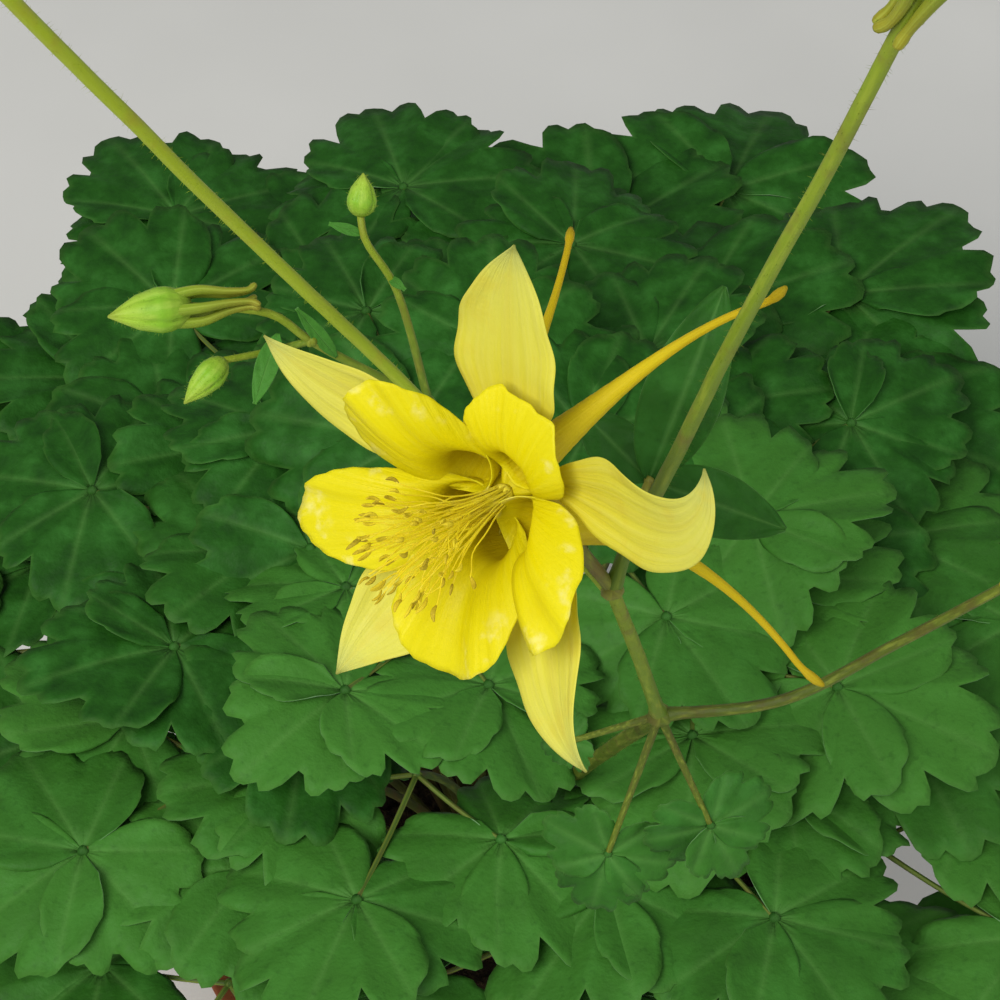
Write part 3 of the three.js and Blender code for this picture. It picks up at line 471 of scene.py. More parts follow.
def sepal_look():
    look = Look("sepal_yellow", specular=0.2, through=0.42)
    along, across = look.layer("along"), look.layer("across")
    veins = look.noise(1.0, 3, look.lengthways(9, 1.6))
    body = look.ramp(along, (0.0, "#dacc24"), (0.18, "#e2d734"), (0.5, "#e5df4e"), (0.86, "#e0de64"),
                     (0.95, "#d0d370"), (1.0, "#9da552"))
    body = look.over(body, veins, 0.38, 0.66, 0.28, "#ebe67c")
    body = look.over(body, look.noise(5, 4), 0.5, 0.75, 0.35, "#e2cf3a")
    middle = look.between(look.math("ABSOLUTE", across), 0.0, 0.22, 0.3, 0)
    body = look.mix(middle, body, "#dcd04a")
    look.paint(body)
    look.bump(look.plus(veins, look.noise(0.9, 4), 0.35), 0.4, 0.55)
    look.gloss(look.noise(3, 3), 0.42, 0.58)
    return look.material


def leaf_look():
    look = Look("leaf_green", specular=0.14)
    tone, vein = look.layer("tone"), look.layer("across")
    blotch = look.noise(9, 4)
    body = look.ramp(blotch, (0.28, "#123a08"), (0.5, "#1d4d0f"), (0.72, "#2c6220"))
    # The tone layer lightens each leaf. Part of it is the leaf's own random tone, and part is a painted sheen
    # on the leaves that point towards the view.
    body = look.over(body, tone, 0.0, 1.0, 0.7, "#467f2c")
    body = look.mix(look.math("MULTIPLY", vein, 0.3), body, "#5d8c44")
    body = look.over(body, look.noise(2.2, 4), 0.5, 0.8, 0.3, "#0e3006")
    body = look.over(body, look.layer("along"), 0.93, 1.0, 0.25, "#4a7430")
    body = look.over(body, tone, 1.2, 1.8, 1, "#6a8c62")
    look.paint(body)
    look.bump(look.plus(look.noise(1.3, 5), vein, -0.6), 0.5, 0.5)
    look.gloss(look.noise(4, 3), 0.55, 0.72)
    return look.material


def stalk_look(name, low, high, blush, streak):
    """Skin of a stem: its colour changes from one end to the other, with a blush and fine ribs."""
    look = Look(name, specular=0.2)
    along = look.layer("along")
    ribs = look.noise(1.0, 3, look.lengthways(streak, 14))
    body = look.ramp(along, (0.0, low), (1.0, high))
    body = look.over(body, ribs, 0.45, 0.7, 0.35, "#9aa43c")
    body = look.over(body, look.noise(7, 3), 0.5, 0.72, 0.6, blush)
    look.paint(body)
    look.bump(look.plus(ribs, look.noise(0.5, 3), 0.4), 0.25, 0.6)
    look.gloss(ribs, 0.45, 0.62)
    return look.material


def bud_look():
    look = Look("bud_lime", specular=0.2, through=0.15)
    streaks = look.noise(1.0, 3, look.lengthways(10, 2.5))
    body = look.ramp(look.layer("along"), (0.0, "#8a8422"), (0.3, "#7c9a26"), (0.55, "#7eae2c"),
                     (0.85, "#98b838"), (1.0, "#8a9a34"))
    body = look.over(body, streaks, 0.42, 0.68, 0.35, "#b4c858")
    body = look.over(body, look.noise(3, 3), 0.52, 0.78, 0.35, "#6a9422")
    look.paint(body)
    look.bump(look.plus(streaks, look.noise(0.5, 4), 0.4), 0.3, 0.6)
    look.gloss(streaks, 0.42, 0.56)
    return look.material


def anther_look():
    look = Look("anther_gold", specular=0.25)
    grains = look.noise(0.25, 3)
    body = look.ramp(look.layer("tone"), (0.0, "#d6c222"), (0.5, "#b8a018"), (1.0, "#948016"))
    body = look.over(body, grains, 0.45, 0.65, 0.35, "#d8c22c")
    look.paint(body)
    look.bump(grains, 0.2, 0.8)
    look.gloss(grains, 0.6, 0.85)
    return look.material


def filament_look():
    look = Look("filament_yellow", specular=0.2, through=0.4)
    body = look.ramp(look.layer("along"), (0.0, "#f4e838"), (0.6, "#faee34"), (1.0, "#f4e22a"))
    body = look.over(body, look.noise(1.5, 3), 0.45, 0.7, 0.4, "#f8ee72")
    look.paint(body)
    look.bump(look.noise(0.4, 3), 0.1)
    return look.material


def clay_look():
    look = Look("fired_clay", specular=0.2)
    cloud = look.noise(38, 5)
    body = look.ramp(cloud, (0.3, "#a35a36"), (0.5, "#b9693f"), (0.7, "#c97c50"))
    body = look.over(body, look.noise(1.4, 4), 0.5, 0.8, 0.35, "#8d4c2e")
    bloom = look.math("MULTIPLY", look.between(look.noise(34, 7), 0.46, 0.74), look.layer("tone"))
    body = look.mix(look.math("MULTIPLY", bloom, 0.45), body, "#d4b89e")
    body = look.over(body, look.layer("across"), 0.0, 1.0, 0.6, "#6f4a33")
    look.paint(body)
    look.bump(look.plus(look.noise(0.8, 5), look.noise(6, 3), 0.6), 0.6, 0.5)
    look.gloss(cloud, 0.78, 0.92)
    return look.material


def soil_look():
    look = Look("potting_soil", specular=0.15)
    crumbs = look.noise(2.6, 6)
    body = look.ramp(crumbs, (0.3, "#17100b"), (0.5, "#2c2018"), (0.68, "#4a3828"))
    body = look.over(body, look.noise(0.9, 3), 0.62, 0.7, 0.5, "#6d5a45")
    look.paint(body)
    look.bump(look.math("ADD", crumbs, look.noise(0.8, 5)), 1.2, 0.8)
    look.gloss(crumbs, 0.85, 0.97)
    return look.material


def root_look():
    look = Look("rootstock_bark", specular=0.2)
    bark = look.noise(2.0, 6)
    body = look.ramp(bark, (0.3, "#3a291b"), (0.52, "#5d4631"), (0.72, "#85694a"))
    body = look.over(body, look.layer("along"), 0.4, 1.0, 0.6, "#8a7a45")
    look.paint(body)
    look.bump(look.math("ADD", bark, look.noise(0.7, 4)), 0.9, 0.8)
    look.gloss(bark, 0.7, 0.9)
    return look.material


def floor_look():
    look = Look("pale_floor", specular=0.2)
    look.paint(look.ramp(look.noise(180, 3), (0.3, "#d3d2cd"), (0.7, "#dad9d4")))
    look.bump(look.noise(3, 3), 0.1, 0.2)
    look.gloss(look.noise(60, 3), 0.75, 0.85)
    return look.material


# ---- petals and sepals
def spur_line(petal):
    """Centre line of a petal's spur, from the mouth backwards, and its direction at each point."""
    steps = SPUR["steps"]
    outward = outward_at(petal["turn"])
    across = np.cross(FORWARD, outward)
    spur = petal["spur"]
    spread = math.radians(spur["spread"])
    direction = -FORWARD * math.cos(spread) + outward * math.sin(spread)
    point = outward * MOUTH["ring"]
    points, directions = [point], [direction]
    for step in range(steps):
        late = 2 * (step + 0.5) / steps - 1
        bend = spur["bend"] + spur.get("late_bend", 0) * late
        hook = spur["hook"] / SPUR["hooked"] * (late > 1 - 2 * SPUR["hooked"])
        sway = spur["sway"] + spur.get("late_sway", 0) * late + hook
        direction = spun(direction, across, -bend / steps)
        direction = unit(spun(direction, unit(np.cross(direction, across)), sway / steps))
        point = point + direction * spur["length"] / steps
        points.append(point)
        directions.append(direction)
    return np.array(points), np.array(directions)


def spur_radius(mouth, u):
    """The spur narrows to a thin neck, and its tip is a small round bulb."""
    bulb = SPUR["bulb"] * np.exp(-(((u - 0.965) / 0.02) ** 2))
    rounding = np.sqrt(1 - (np.maximum(0, u - 0.97) / 0.035) ** 2)
    return (SPUR["tip"] + (mouth - SPUR["tip"]) * (1 - u) ** SPUR["taper"] + bulb) * rounding


def spur_rings(petal, shares, angles, change):
    """Rings round the spur at some shares of its length, made wider by the change."""
    points, directions = spur_line(petal)
    index = np.round(np.asarray(shares) * (len(points) - 1)).astype(int)
    point, direction = points[index], directions[index]
    across = np.cross(FORWARD, outward_at(petal["turn"]))
    second = unit(across - direction * np.sum(direction * across, -1, keepdims=True))
    first = np.cross(direction, second)
    change = np.broadcast_to(np.asarray(change, float), len(index))[:, None, None]
    u = np.asarray(shares)[:, None, None]
    radial = (spur_radius(MOUTH["radial"], u) + change) * np.cos(angles)[None, :, None]
    sideways = (spur_radius(MOUTH["sideways"], u) + change) * np.sin(angles)[None, :, None]
    return point[:, None] + first[:, None] * radial + second[:, None] * sideways


def blade_outline(petal, angles, seed):
    """The blade's free edge before it is tilted: how far along, across and up it is, and its turn."""
    cosine, sine = np.cos(angles), np.sin(angles)
    blade, blunt = petal["blade"], petal["blunt"]
    wavy = 1 + 0.012 * np.sin(9 * angles + seed) + 0.008 * np.sin(23 * angles + 2 * seed)
    reach = np.where(cosine > 0, np.abs(cosine) ** blunt, cosine) * wavy
    narrowing = 1 - MOUTH["narrowing"] * np.maximum(0, -cosine)
    x = (blade - MOUTH["radial"]) / 2 + (blade + MOUTH["radial"]) / 2 * reach
    y = petal["half"] * np.sign(sine) * np.abs(sine) ** blunt * narrowing * wavy
    curl = petal["curl"] * np.maximum(0, x / blade) ** 2 * blade / 2
    height = petal["cup"] * y * y / petal["half"] + curl + petal["fold"] * np.abs(y)
    far = np.maximum(x, 0)
    arc = math.radians(petal.get("reflex", 0.01)) / blade
    height = height * np.cos(arc * far) - (1 - np.cos(arc * far)) / arc
    x = np.minimum(x, 0) + np.sin(arc * far) / arc
    return x, y, height, petal["sway"] * smoothstep(far, 0, blade)


def blade_rings(petal, shares, angles, seed):
    """Rings of the blade from the mouth's rim to the free edge, which is gently ruffled."""
    outward = outward_at(petal["turn"])
    rise = math.radians(petal["rise"])
    along = outward * math.cos(rise) + FORWARD * math.sin(rise)
    across = spun(np.cross(FORWARD, outward), along, petal["twist"])
    facing = unit(np.cross(along, across))
    points, directions = spur_line(petal)
    rim = spur_rings(petal, [0.0], angles, 0)[0]
    x, y, height, sway = blade_outline(petal, angles, seed)
    flat = along * x[:, None] + across * y[:, None]
    edge = spun(flat, facing, sway) + points[0] + facing * height[:, None]
    lip = rim - directions[0] * petal.get("lip", MOUTH["lip"])
    weight = (np.maximum(0, -np.cos(angles)) ** 2)[:, None]
    edge = edge * (1 - weight) + lip * weight
    control = rim - directions[0] * MOUTH["flare"] * np.linalg.norm(edge - rim, axis=-1, keepdims=True)
    share = np.asarray(shares)[:, None, None]
    rings = (1 - share) ** 2 * rim + 2 * share * (1 - share) * control + share ** 2 * edge
    outer = np.maximum(0, np.cos(angles))[None, :, None]
    ruffle = 0.45 * np.sin(5 * angles + seed) + 0.25 * np.sin(11 * angles + 3 * seed)
    crease = 0.35 * np.sin(3.2 * angles * (1 + share[..., 0]) + seed)
    return rings + facing * outer * (share ** 3 * ruffle[None, :, None] + share * crease[..., None] * 0.6)


def pushed(rings, distance):
    """Rings moved along their surface's normals."""
    along = np.gradient(rings, axis=0)
    across = np.roll(rings, -1, 1) - np.roll(rings, 1, 1)
    return rings + unit(np.cross(across, along)) * np.asarray(distance)[:, None, None]


def add_petal(parts, petal, seed):
    """A petal as one closed skin: up the outside of the spur and blade, and down the inside."""
    sides = 80
    angles = angles_round(sides) - math.pi
    shares = np.linspace(0, 1, 30) ** 0.85
    blade = blade_rings(petal, shares, angles, seed)
    reach = SPUR["skin"] - 0.09 * smoothstep(shares, 0.8, 1)
    outer, inner = pushed(blade, reach), pushed(blade, -reach)
    back = np.linspace(1, 0, 70) ** 0.9
    spur = spur_rings(petal, back[:-1], angles, SPUR["skin"])
    front = np.linspace(0, SPUR["hollow"], 26)[1:]
    throat = spur_rings(petal, front, angles, -SPUR["skin"])
    rings = np.concatenate([spur, outer, inner[::-1], throat])
    along = np.concatenate([0.5 - 0.5 * back[:-1], 0.5 + 0.5 * shares, 0.5 + 0.5 * shares[::-1],
                            0.5 - 0.5 * front])
    points, directions = spur_line(petal)
    across = np.tile(np.abs(angles) / math.pi, (len(rings), 1))
    deepest = int(SPUR["hollow"] * SPUR["steps"])
    tip, end = (points[k] + directions[k] * 0.3 for k in (-1, deepest))
    add_rings(parts, in_flower(rings), in_flower(tip), in_flower(end), along=along, across=across, tone=seed)


def sepal_half(sepal, u):
    """Half the sepal's width, which grows from a claw and ends in a point."""
    widest, claw = sepal["widest"], SEPAL_ROOT["claw"]
    swell = np.sin(math.pi / 2 * np.clip(u / widest, 0, 1)) ** 1.6
    low = claw + (1 - claw) * swell
    x = np.clip((u - widest) / (1 - widest), 0, 1)
    high = (1 - x ** 1.9) ** 0.95 * (1 - 0.25 * x * x)
    return np.maximum(0.12, sepal["half"] * np.where(u < widest, low, high))


def sepal_grid(sepal, seed):
    """The middle surface of a sepal: rows of points that bend, sway and twist from its claw to its tip."""
    steps = 70
    across = np.linspace(-1, 1, 25)
    outward = outward_at(sepal["turn"])
    lift = math.radians(sepal["lift"])
    direction = outward * math.cos(lift) + FORWARD * math.sin(lift)
    side = np.cross(FORWARD, outward)
    point = outward * SEPAL_ROOT["start"] + FORWARD * sepal.get("behind", SEPAL_ROOT["behind"])
    grid = []
    for step in range(steps + 1):
        u = step / steps
        normal = unit(np.cross(direction, side))
        half = sepal_half(sepal, u)
        curve = half / (2 * sepal["cup"])
        angle = across * 2 * sepal["cup"]
        lateral = curve * np.sin(angle) * (1 + 0.02 * np.sin(9 * u * math.pi + seed + 2 * across))
        height = curve * (1 - np.cos(angle))
        edge = smoothstep(np.abs(across), 0.45, 1.0) * np.sin(math.pi * u)
        ruffle = 0.5 * np.sin(7 * u + seed + 1.5 * across) + 0.25 * np.sin(19 * u + 2 * seed)
        height = height + edge * ruffle
        height = height - 0.35 * np.exp(-((across / 0.13) ** 2)) * (1 - u) * min(1, 8 * u)
        height = height + 0.1 * np.cos(across * 16) * np.sin(math.pi * u) * half / 8
        grid.append(point + side * lateral[:, None] + normal * height[:, None])
        late = 4 * (u + 0.5 / steps) ** 3
        direction = spun(direction, side, -(sepal["bend"] + sepal["tip_bend"] * late) / steps)
        direction = unit(spun(direction, normal, (sepal["sway"] + sepal["tip_sway"] * late) / steps))
        side = unit(side - direction * np.dot(side, direction))
        side = spun(side, direction, (sepal["twist"] + sepal["tip_twist"] * late) / steps)
        point = point + direction * sepal["length"] / steps
    return np.array(grid)


def add_sepal(parts, sepal, seed):
    grid = sepal_grid(sepal, seed)
    u = np.linspace(0, 1, len(grid))[:, None]
    across = np.linspace(-1, 1, len(grid[0]))
    thick = 0.34 - 0.22 * smoothstep(np.abs(across), 0.75, 1) + 0.5 * np.exp(-((u / 0.05) ** 2))
    add_sheet(parts, in_flower(grid), thick, along=u, across=across, tone=seed)


# ---- stamens and pistils
def add_anther(parts, foot, direction, length, width, tone):
    """An oblong anther with two lobes."""
    share = np.linspace(0.04, 0.96, 8)
    points = foot + direction * (share * length)[:, None]
    bend = unit(np.cross(direction, RANDOM.normal(size=3)))
    points = points + bend * (np.sin(share * math.pi) * 0.18 * length)[:, None]
    sides = 10
    ray = rays_round(points, sides)[1]
    radius = width * np.sin(math.pi * share) ** 0.5
    lobes = 1 + 0.28 * np.cos(2 * angles_round(sides))
    rings = points[:, None] + ray * (radius[:, None] * lobes[None])[..., None]
    add_rings(parts, rings, points[0] - direction * 0.05 * length, points[-1] + direction * 0.05 * length,
              along=share, tone=tone, slot=1)


def add_stamens(parts):
    """A spray of filaments in a spiral, with their anthers, on a small collar."""
    count = 60
    collar = np.linspace(0, 2 * math.pi, 40, endpoint=False)
    profile = [(0.9, -0.8), (1.5, -0.75), (1.7, 0.1), (1.55, 0.75), (1.3, 0.95), (0.9, 0.7)]
    rings = [[(r * math.cos(a), r * math.sin(a), z) for a in collar] for r, z in profile]
    add_rings(parts, in_flower(rings), in_flower((0, 0, -0.8)), in_flower((0, 0, 0.6)), along=0.1)
    for index in range(count):
        turn = 137.508 * index
        outer = math.sqrt((index + 0.5) / count)
        length = 27.0 - 8.5 * outer + RANDOM.uniform(-1.2, 1.2)
        flare = (0.1 + 0.26 * outer) * RANDOM.uniform(0.7, 1.15)
        outward = outward_at(turn + RANDOM.uniform(-8, 8))
        droop = np.array([0.0, -1.0, 0.0]) * RANDOM.uniform(0.0, 1.6)
        share = np.linspace(0, 1, 14)
        spread = 1.0 + 0.6 * outer + flare * length * share ** RANDOM.uniform(1.5, 2.6)
        wobble = RANDOM.normal(scale=0.75, size=3)
        line = outward * spread[:, None] + FORWARD * (0.1 + length * share)[:, None]
        line = line + droop * (share ** 2)[:, None]
        line = in_flower(line + wobble * np.sin(2.6 * math.pi * share ** 2)[:, None] * 0.7)
        add_stem(parts, line, 0.14 - 0.05 * share, sides=6)
        direction = unit(line[-1] - line[-2] + RANDOM.normal(scale=0.35, size=3) * 0.8)
        tone = RANDOM.uniform(0, 1)
        add_anther(parts, line[-1] - direction * 0.4, direction, RANDOM.uniform(1.8, 2.9), 0.27, tone)


def add_pistils(parts):
    """Five styles on hairy carpels."""
    for index in range(5):
        outward = outward_at(360 / 5 * index + 20)
        share = np.linspace(0, 1, 34)
        spread = 0.42 + 0.35 * np.sin(math.pi * np.clip(share * 2.4, 0, 1)) + 2.4 * share ** 2.2
        line = outward * spread[:, None] + FORWARD * (-0.3 + 26.5 * share)[:, None]
        line = line + np.array([0.0, -0.9, 0.0]) * (share ** 2)[:, None]
        carpel = 0.62 * np.exp(-(((share - 0.14) / 0.11) ** 2))
        radius = 0.2 + carpel - 0.07 * share
        stem = add_stem(parts, in_flower(line), radius, sides=10)
        stem_hairs(parts, tuple(np.asarray(v)[:12] for v in stem), 6, 0.5)


# ---- stems
# Where the stems begin and fork.
CROWN = np.array([0, 0, 159.0])
LOWER_FORK = on_slope(28, -39, -95)
UPPER_FORK = on_slope(17.5, -15, -50)
BUD_FORK = on_slope(-12.5, 16, -74)
BUD_PAIR = on_slope(-31, 25, -54)
BRACT_JOINT = on_slope(24, 2.5, -60)


def slope_knots(*knots):
    """The knots of a stem. The bare triples among them are places on the slope."""
    return [on_slope(*knot) if isinstance(knot, tuple) else knot for knot in knots]


def add_swelling(parts, centre, radius, along=0.5, slot=0, axis=UP):
    """A knot where stems fork."""
    share = np.linspace(0.06, 0.94, 9)
    axis = unit(axis)
    points = centre + axis * (radius * -np.cos(math.pi * share))[:, None]
    angle = angles_round(18)
    ray = rays_round(points, len(angle))[1]
    lumps = 1 + 0.07 * np.sin(3 * angle + 1) + 0.04 * np.sin(7 * angle)
    rings = points[:, None] + ray * (radius * np.sin(math.pi * share)[:, None] * lumps[None])[..., None]
    add_rings(parts, rings, centre - axis * radius, centre + axis * radius, along=along, slot=slot)


def stem_piece(name, node, route, radii, look, density=2.5, swelling=None):
    """One length of the plant's stem, thicker at its foot, that wanders a little from its route."""
    parts = Parts()
    length = np.sum(np.linalg.norm(np.diff(route, axis=0), axis=1))
    steps = int(max(10, length / 2))
    points = smooth_route(route, steps)
    share = np.linspace(0, 1, steps + 1)
    wander = 0.15 * waves(points * 0.12, len(name)) * np.sin(math.pi * share)
    points = points + wander[:, None] * [1, 0.3, 0]
    radius = radii[0] + (radii[1] - radii[0]) * share
    radius = radius + 0.35 * radii[0] * np.exp(-((share * length / 3) ** 2))
    stem = add_stem(parts, points, radius, sides=18, ribs=0.035)
    stem_hairs(parts, stem, density)
    if swelling:
        add_swelling(parts, *swelling)
    parts.piece(name, [look], "stem", node)


# ---- buds
# Each bud: where it begins and where its tip is, half its width, and the length of its young spurs.
BUDS = [
    dict(base=(-49, 30, -45), tip=(-62, 28, -42), half=3.5, spurs=10),
    dict(base=(-44.2, 21.8, -48.2), tip=(-50.5, 14.5, -46), half=2.3, spurs=0),
    dict(base=(-22.6, 44.3, -47.4), tip=(-22, 51, -45), half=2.3, spurs=0),
    dict(base=(-66.6, 66.6, 90.2), tip=(-73, 74, 108), half=4.6, spurs=16),
    dict(base=(46.4, 57.9, 90), tip=(50, 66, 108), half=4.6, spurs=16),
    dict(base=(90.8, -10.5, -61.3), tip=(101, -4, -50), half=3.5, spurs=10),
]


def bud_foot(number):
    """Where the stalk of a bud ends, just inside the bud."""
    base, tip = (on_slope(*BUDS[number - 1][end]) for end in ("base", "tip"))
    return base + 0.03 * (tip - base)


def add_bud(parts, bud, seed):
    """A closed bud: five folded sepals with their seams, and up to five young spurs behind."""
    base, tip = (on_slope(*bud[end]) for end in ("base", "tip"))
    half, spurs = bud["half"], bud["spurs"]
    axis = unit(tip - base)
    length = np.linalg.norm(tip - base)
    share = np.linspace(0.01, 0.99, 40)
    profile = np.interp(share, [0, 0.06, 0.15, 0.28, 0.4, 0.65, 0.85, 0.94, 1],
                        [0.2, 0.55, 0.82, 0.98, 1, 0.76, 0.36, 0.16, 0.04])
    points = base + axis * (share * length)[:, None]
    side = unit(np.cross(axis, UP))
    up = np.cross(side, axis)
    angle = angles_round(50)
    twist = angle[None] + 0.5 * share[:, None]
    ridge = 1 + 0.07 * np.abs(np.cos(2.5 * twist)) - 0.09 * np.exp(-((np.cos(2.5 * twist) / 0.16) ** 2))
    ray = side * np.cos(angle)[:, None] + up * np.sin(angle)[:, None]
    rings = points[:, None] + ray[None] * (profile[:, None] * ridge * half)[..., None]
    add_rings(parts, rings, base, tip, along=0.25 + 0.75 * share)
    hairs = 160
    rows = RANDOM.integers(2, len(share) - 2, hairs)
    columns = RANDOM.integers(0, len(angle), hairs)
    ways = ray[columns] + axis * 0.4 + RANDOM.normal(scale=0.2, size=(hairs, 3))
    add_hairs(parts, rings[rows, columns], ways, RANDOM.uniform(0.4, 0.9, hairs), thick=0.05, along=0.9)
    for index in range(5 if spurs else 0):
        turn = 2 * math.pi * index / 5
        outward = side * math.cos(turn) + up * math.sin(turn)
        hook = unit(np.cross(axis, outward)) * 0.25 * half * (1 if index % 2 else -1)
        waist = 0.42 + 0.08 * math.sin(seed + index)
        knots = [base + axis * 0.28 * length + outward * 0.62 * half,
                 base - axis * 0.1 * spurs + outward * 0.76 * half,
                 base - axis * 0.6 * spurs + outward * waist * half,
                 base - axis * 0.93 * spurs + outward * 0.4 * half + hook * 0.4,
                 base - axis * 1.02 * spurs + outward * 0.5 * half + hook]
        add_young_spur(parts, smooth_route(knots, 26), half)


def add_young_spur(parts, line, half):
    """A short hairy spur that is widest at its foot, with a small knob at its tip."""
    share = np.linspace(0, 1, len(line))
    radius = half * (0.3 - 0.17 * share + 0.04 * np.exp(-(((share - 0.97) / 0.04) ** 2)))
    stem = add_stem(parts, line, radius, sides=10, along=0.3 - 0.3 * share)
    stem_hairs(parts, stem, 2, 0.5, thick=0.05)


# ---- leaves
LOBE_TURNS = np.radians([-46.0, 0.0, 46.0])


def leaflet_outline(angle, seed):
    """How far a three-lobed leaflet reaches at each angle from its stalk, as a share of its length."""
    degrees = np.degrees(angle)
    fan = np.cos(np.clip(angle, -1.5, 1.5)) ** 0.55
    notch = 0.27 * np.exp(-np.abs((np.abs(degrees) - 24 - 1.5 * math.sin(seed)) / 4.5) ** 1.4)
    teeth = 0.0
    for tooth in (-68, -52, -37, -8.5, 8.5, 37, 52, 68):
        depth = 0.06 if abs(tooth) > 20 else 0.08
        teeth = teeth + depth * np.exp(-(((degrees - tooth - 2 * math.sin(3 * seed + tooth)) / 2.6) ** 2))
    return fan * (1 - notch) * (1 - teeth) * (1 - 0.03 * np.sin(5 * angle + seed))


def add_leaflet(parts, foot, ahead, face, length, seed, tone):
    """A three-lobed leaflet with rounded teeth, puffed between its sunken veins."""
    columns, rows = 51, 8
    angle = np.radians(np.linspace(-88, 88, columns))
    share = np.linspace(0.006, 1, rows) ** 0.8
    reach = length * leaflet_outline(angle, seed)
    r = share[:, None] * reach[None]
    x, y = r * np.cos(angle), r * np.sin(angle)
    off = np.min([np.abs(y * math.cos(t) - x * math.sin(t)) + 4 * (np.cos(angle - t) < 0.6)
                  for t in LOBE_TURNS], axis=0)
    vein = np.exp(-((off / 0.8) ** 2)) * (1 - 0.6 * share[:, None])
    puff = 0.04 * length * (1 - np.exp(-((off / (0.2 * length)) ** 2)))
    wave = 0.05 * length * share[:, None] ** 2 * np.sin(2.6 * angle + seed)
    edge = 0.02 * length * share[:, None] ** 3 * np.sin(13 * angle + 2 * seed)
    dish = -0.13 * length * (r / length) ** 2 + 0.05 * np.abs(y) * (0.6 + 0.4 * math.sin(seed))
    z = puff * (1 - share[:, None] ** 4 * 0.5) - 0.15 * vein + wave + edge + dish
    side = unit(np.cross(face, ahead))
    grid = foot + ahead * x[..., None] + side * y[..., None] + face * z[..., None]
    add_sheet(parts, grid, 0.3 - 0.16 * share[:, None] ** 6, along=share[:, None], across=vein, tone=tone,
              slot=1, under_tone=2.0)


def add_trefoil(parts, joint, ahead, face, length, seed, tone, knot=1.4):
    """Three leaflets that meet at one joint, with a small knot on it."""
    random = np.random.default_rng(seed)
    for turn in (-96, 0, 96):
        heading = spun(ahead, face, turn + random.uniform(-5, 5))
        tip_up = random.uniform(-7, 9)
        side = unit(np.cross(face, heading))
        roll = random.uniform(-12, 12)
        normal = spun(spun(face, side, tip_up), heading, roll)
        heading = unit(heading - normal * np.dot(heading, normal))
        size = length * (1.04 if turn == 0 else 0.97) * random.uniform(0.95, 1.05)
        add_leaflet(parts, joint, heading, normal, size, random.uniform(0, 6),
                    tone + random.uniform(-0.15, 0.15))
    add_swelling(parts, joint, knot, along=0.3, slot=1)


# The spiral of basal leaves: its places, the one that the stem takes, the turn from leaf to leaf and of the
# first, its radius, its height over the soil, how much the stalks' lengths dip, and the leaflets' length.
LEAVES = dict(count=30, stem_place=4, golden=137.5, first=93, ring=14, sunk=6, dip=68.7, leaflet=39.5)
# How much larger the leaflets of some leaves have grown.
BROAD_PLACES = {0: 1.23, 2: 1.1, 5: 1.12, 6: 1.06, 7: 1.12, 15: 1.06, 18: 1.25, 21: 1.06, 26: 1.25}
# From the youngest leaf to the oldest: stalk length, its slope at the foot and at the end, tilt and size.
LEAF_AGES = dict(length=(174, 191), start=(88, 74), end=(81, 2), tilt=(14, 1), size=(0.83, 1.12))
# The soil: its top and bottom, how far it stays inside the pot's outer face, and how it drops at its edge.
SOIL = dict(top=150, bottom=8.3, inset=6.9, level=66, edge=82, drop=3.0)


def leaf_stalk(place, age, aged, outward):
    """The line of a leaf's stalk, which rises from the crown and bends over outwards."""
    length = aged["length"] - LEAVES["dip"] * (math.sqrt(age) - age)
    start = math.radians(aged["start"])
    swing = math.radians(aged["end"]) - start
    ring = LEAVES["ring"] * math.sqrt((place + 1.5) / (LEAVES["count"] + 1.5))
    base = outward * ring + UP * (SOIL["top"] + LEAVES["sunk"])
    u = np.linspace(0, 1, 46)
    out = length * (np.sin(start + swing * u) - math.sin(start)) / swing
    rise = -length * (np.cos(start + swing * u) - math.cos(start)) / swing
    return base + outward * out[:, None] + UP * rise[:, None]


def add_basal_leaf(parts, place):
    """A leaf of the spiral round the crown: one stalk, three side stalks and nine leaflets."""
    age = place / (LEAVES["count"] - 1)
    aged = {key: young + (old - young) * age for key, (young, old) in LEAF_AGES.items()}
    outward = outward_at(LEAVES["first"] + LEAVES["golden"] * place)
    line = leaf_stalk(place, age, aged, outward)
    u = np.linspace(0, 1, len(line))
    radius = 1.5 - 0.55 * u + 1.0 * np.exp(-((u / 0.07) ** 2))
    stem = add_stem(parts, line, radius, ribs=0.05)
    stem_hairs(parts, stem, 0.8, 0.8)
    end = line[-1]
    across = unit(np.cross(outward, UP))
    forward = spun(outward, across, aged["tilt"])
    face = np.cross(across, forward)
    # The leaf's tone is paler where it points towards the view (-y) and to the right, which is a painted
    # sheen. It is darker for older leaves and has a random share of its own.
    tone = 0.3 - 0.4 * outward[1] + 0.2 * outward[0] - 0.15 * age + 0.25 * math.sin(7.3 * place)
    for turn in (-68, 0, 68):
        heading = spun(forward, face, turn)
        reach = aged["size"] * (30.3 if turn else 43.5)
        joint = end + heading * reach - face * 0.06 * reach
        droop = unit(np.cross(heading, face))
        normal = spun(face, droop, -4)
        ahead = spun(heading, droop, -4)
        share = np.linspace(0, 1, 9)
        sag = face * (-0.04 * reach) * np.sin(np.linspace(0, math.pi, 9))[:, None]
        stalk = end + (joint - end) * share[:, None] + sag
        add_stem(parts, stalk, 0.75 - 0.15 * share, sides=8, along=0.8)
        length = aged["size"] * LEAVES["leaflet"] * BROAD_PLACES.get(place, 1)
        add_trefoil(parts, joint, ahead, normal, length, 100 * place + turn + 68, tone)
    add_swelling(parts, end, 1.3, along=0.9)


# ---- pot, soil and rootstock
# The pot: its outer radius at the foot and at the top, its height, where its rim begins and how far the rim
# stands out, and the thickness of its wall and floor.
POT = dict(foot=64, top=92, height=168, rim_base=138, rim=5, wall=6, floor=8)
DRAIN_HOLES = dict(count=3, ring=38, radius=6)


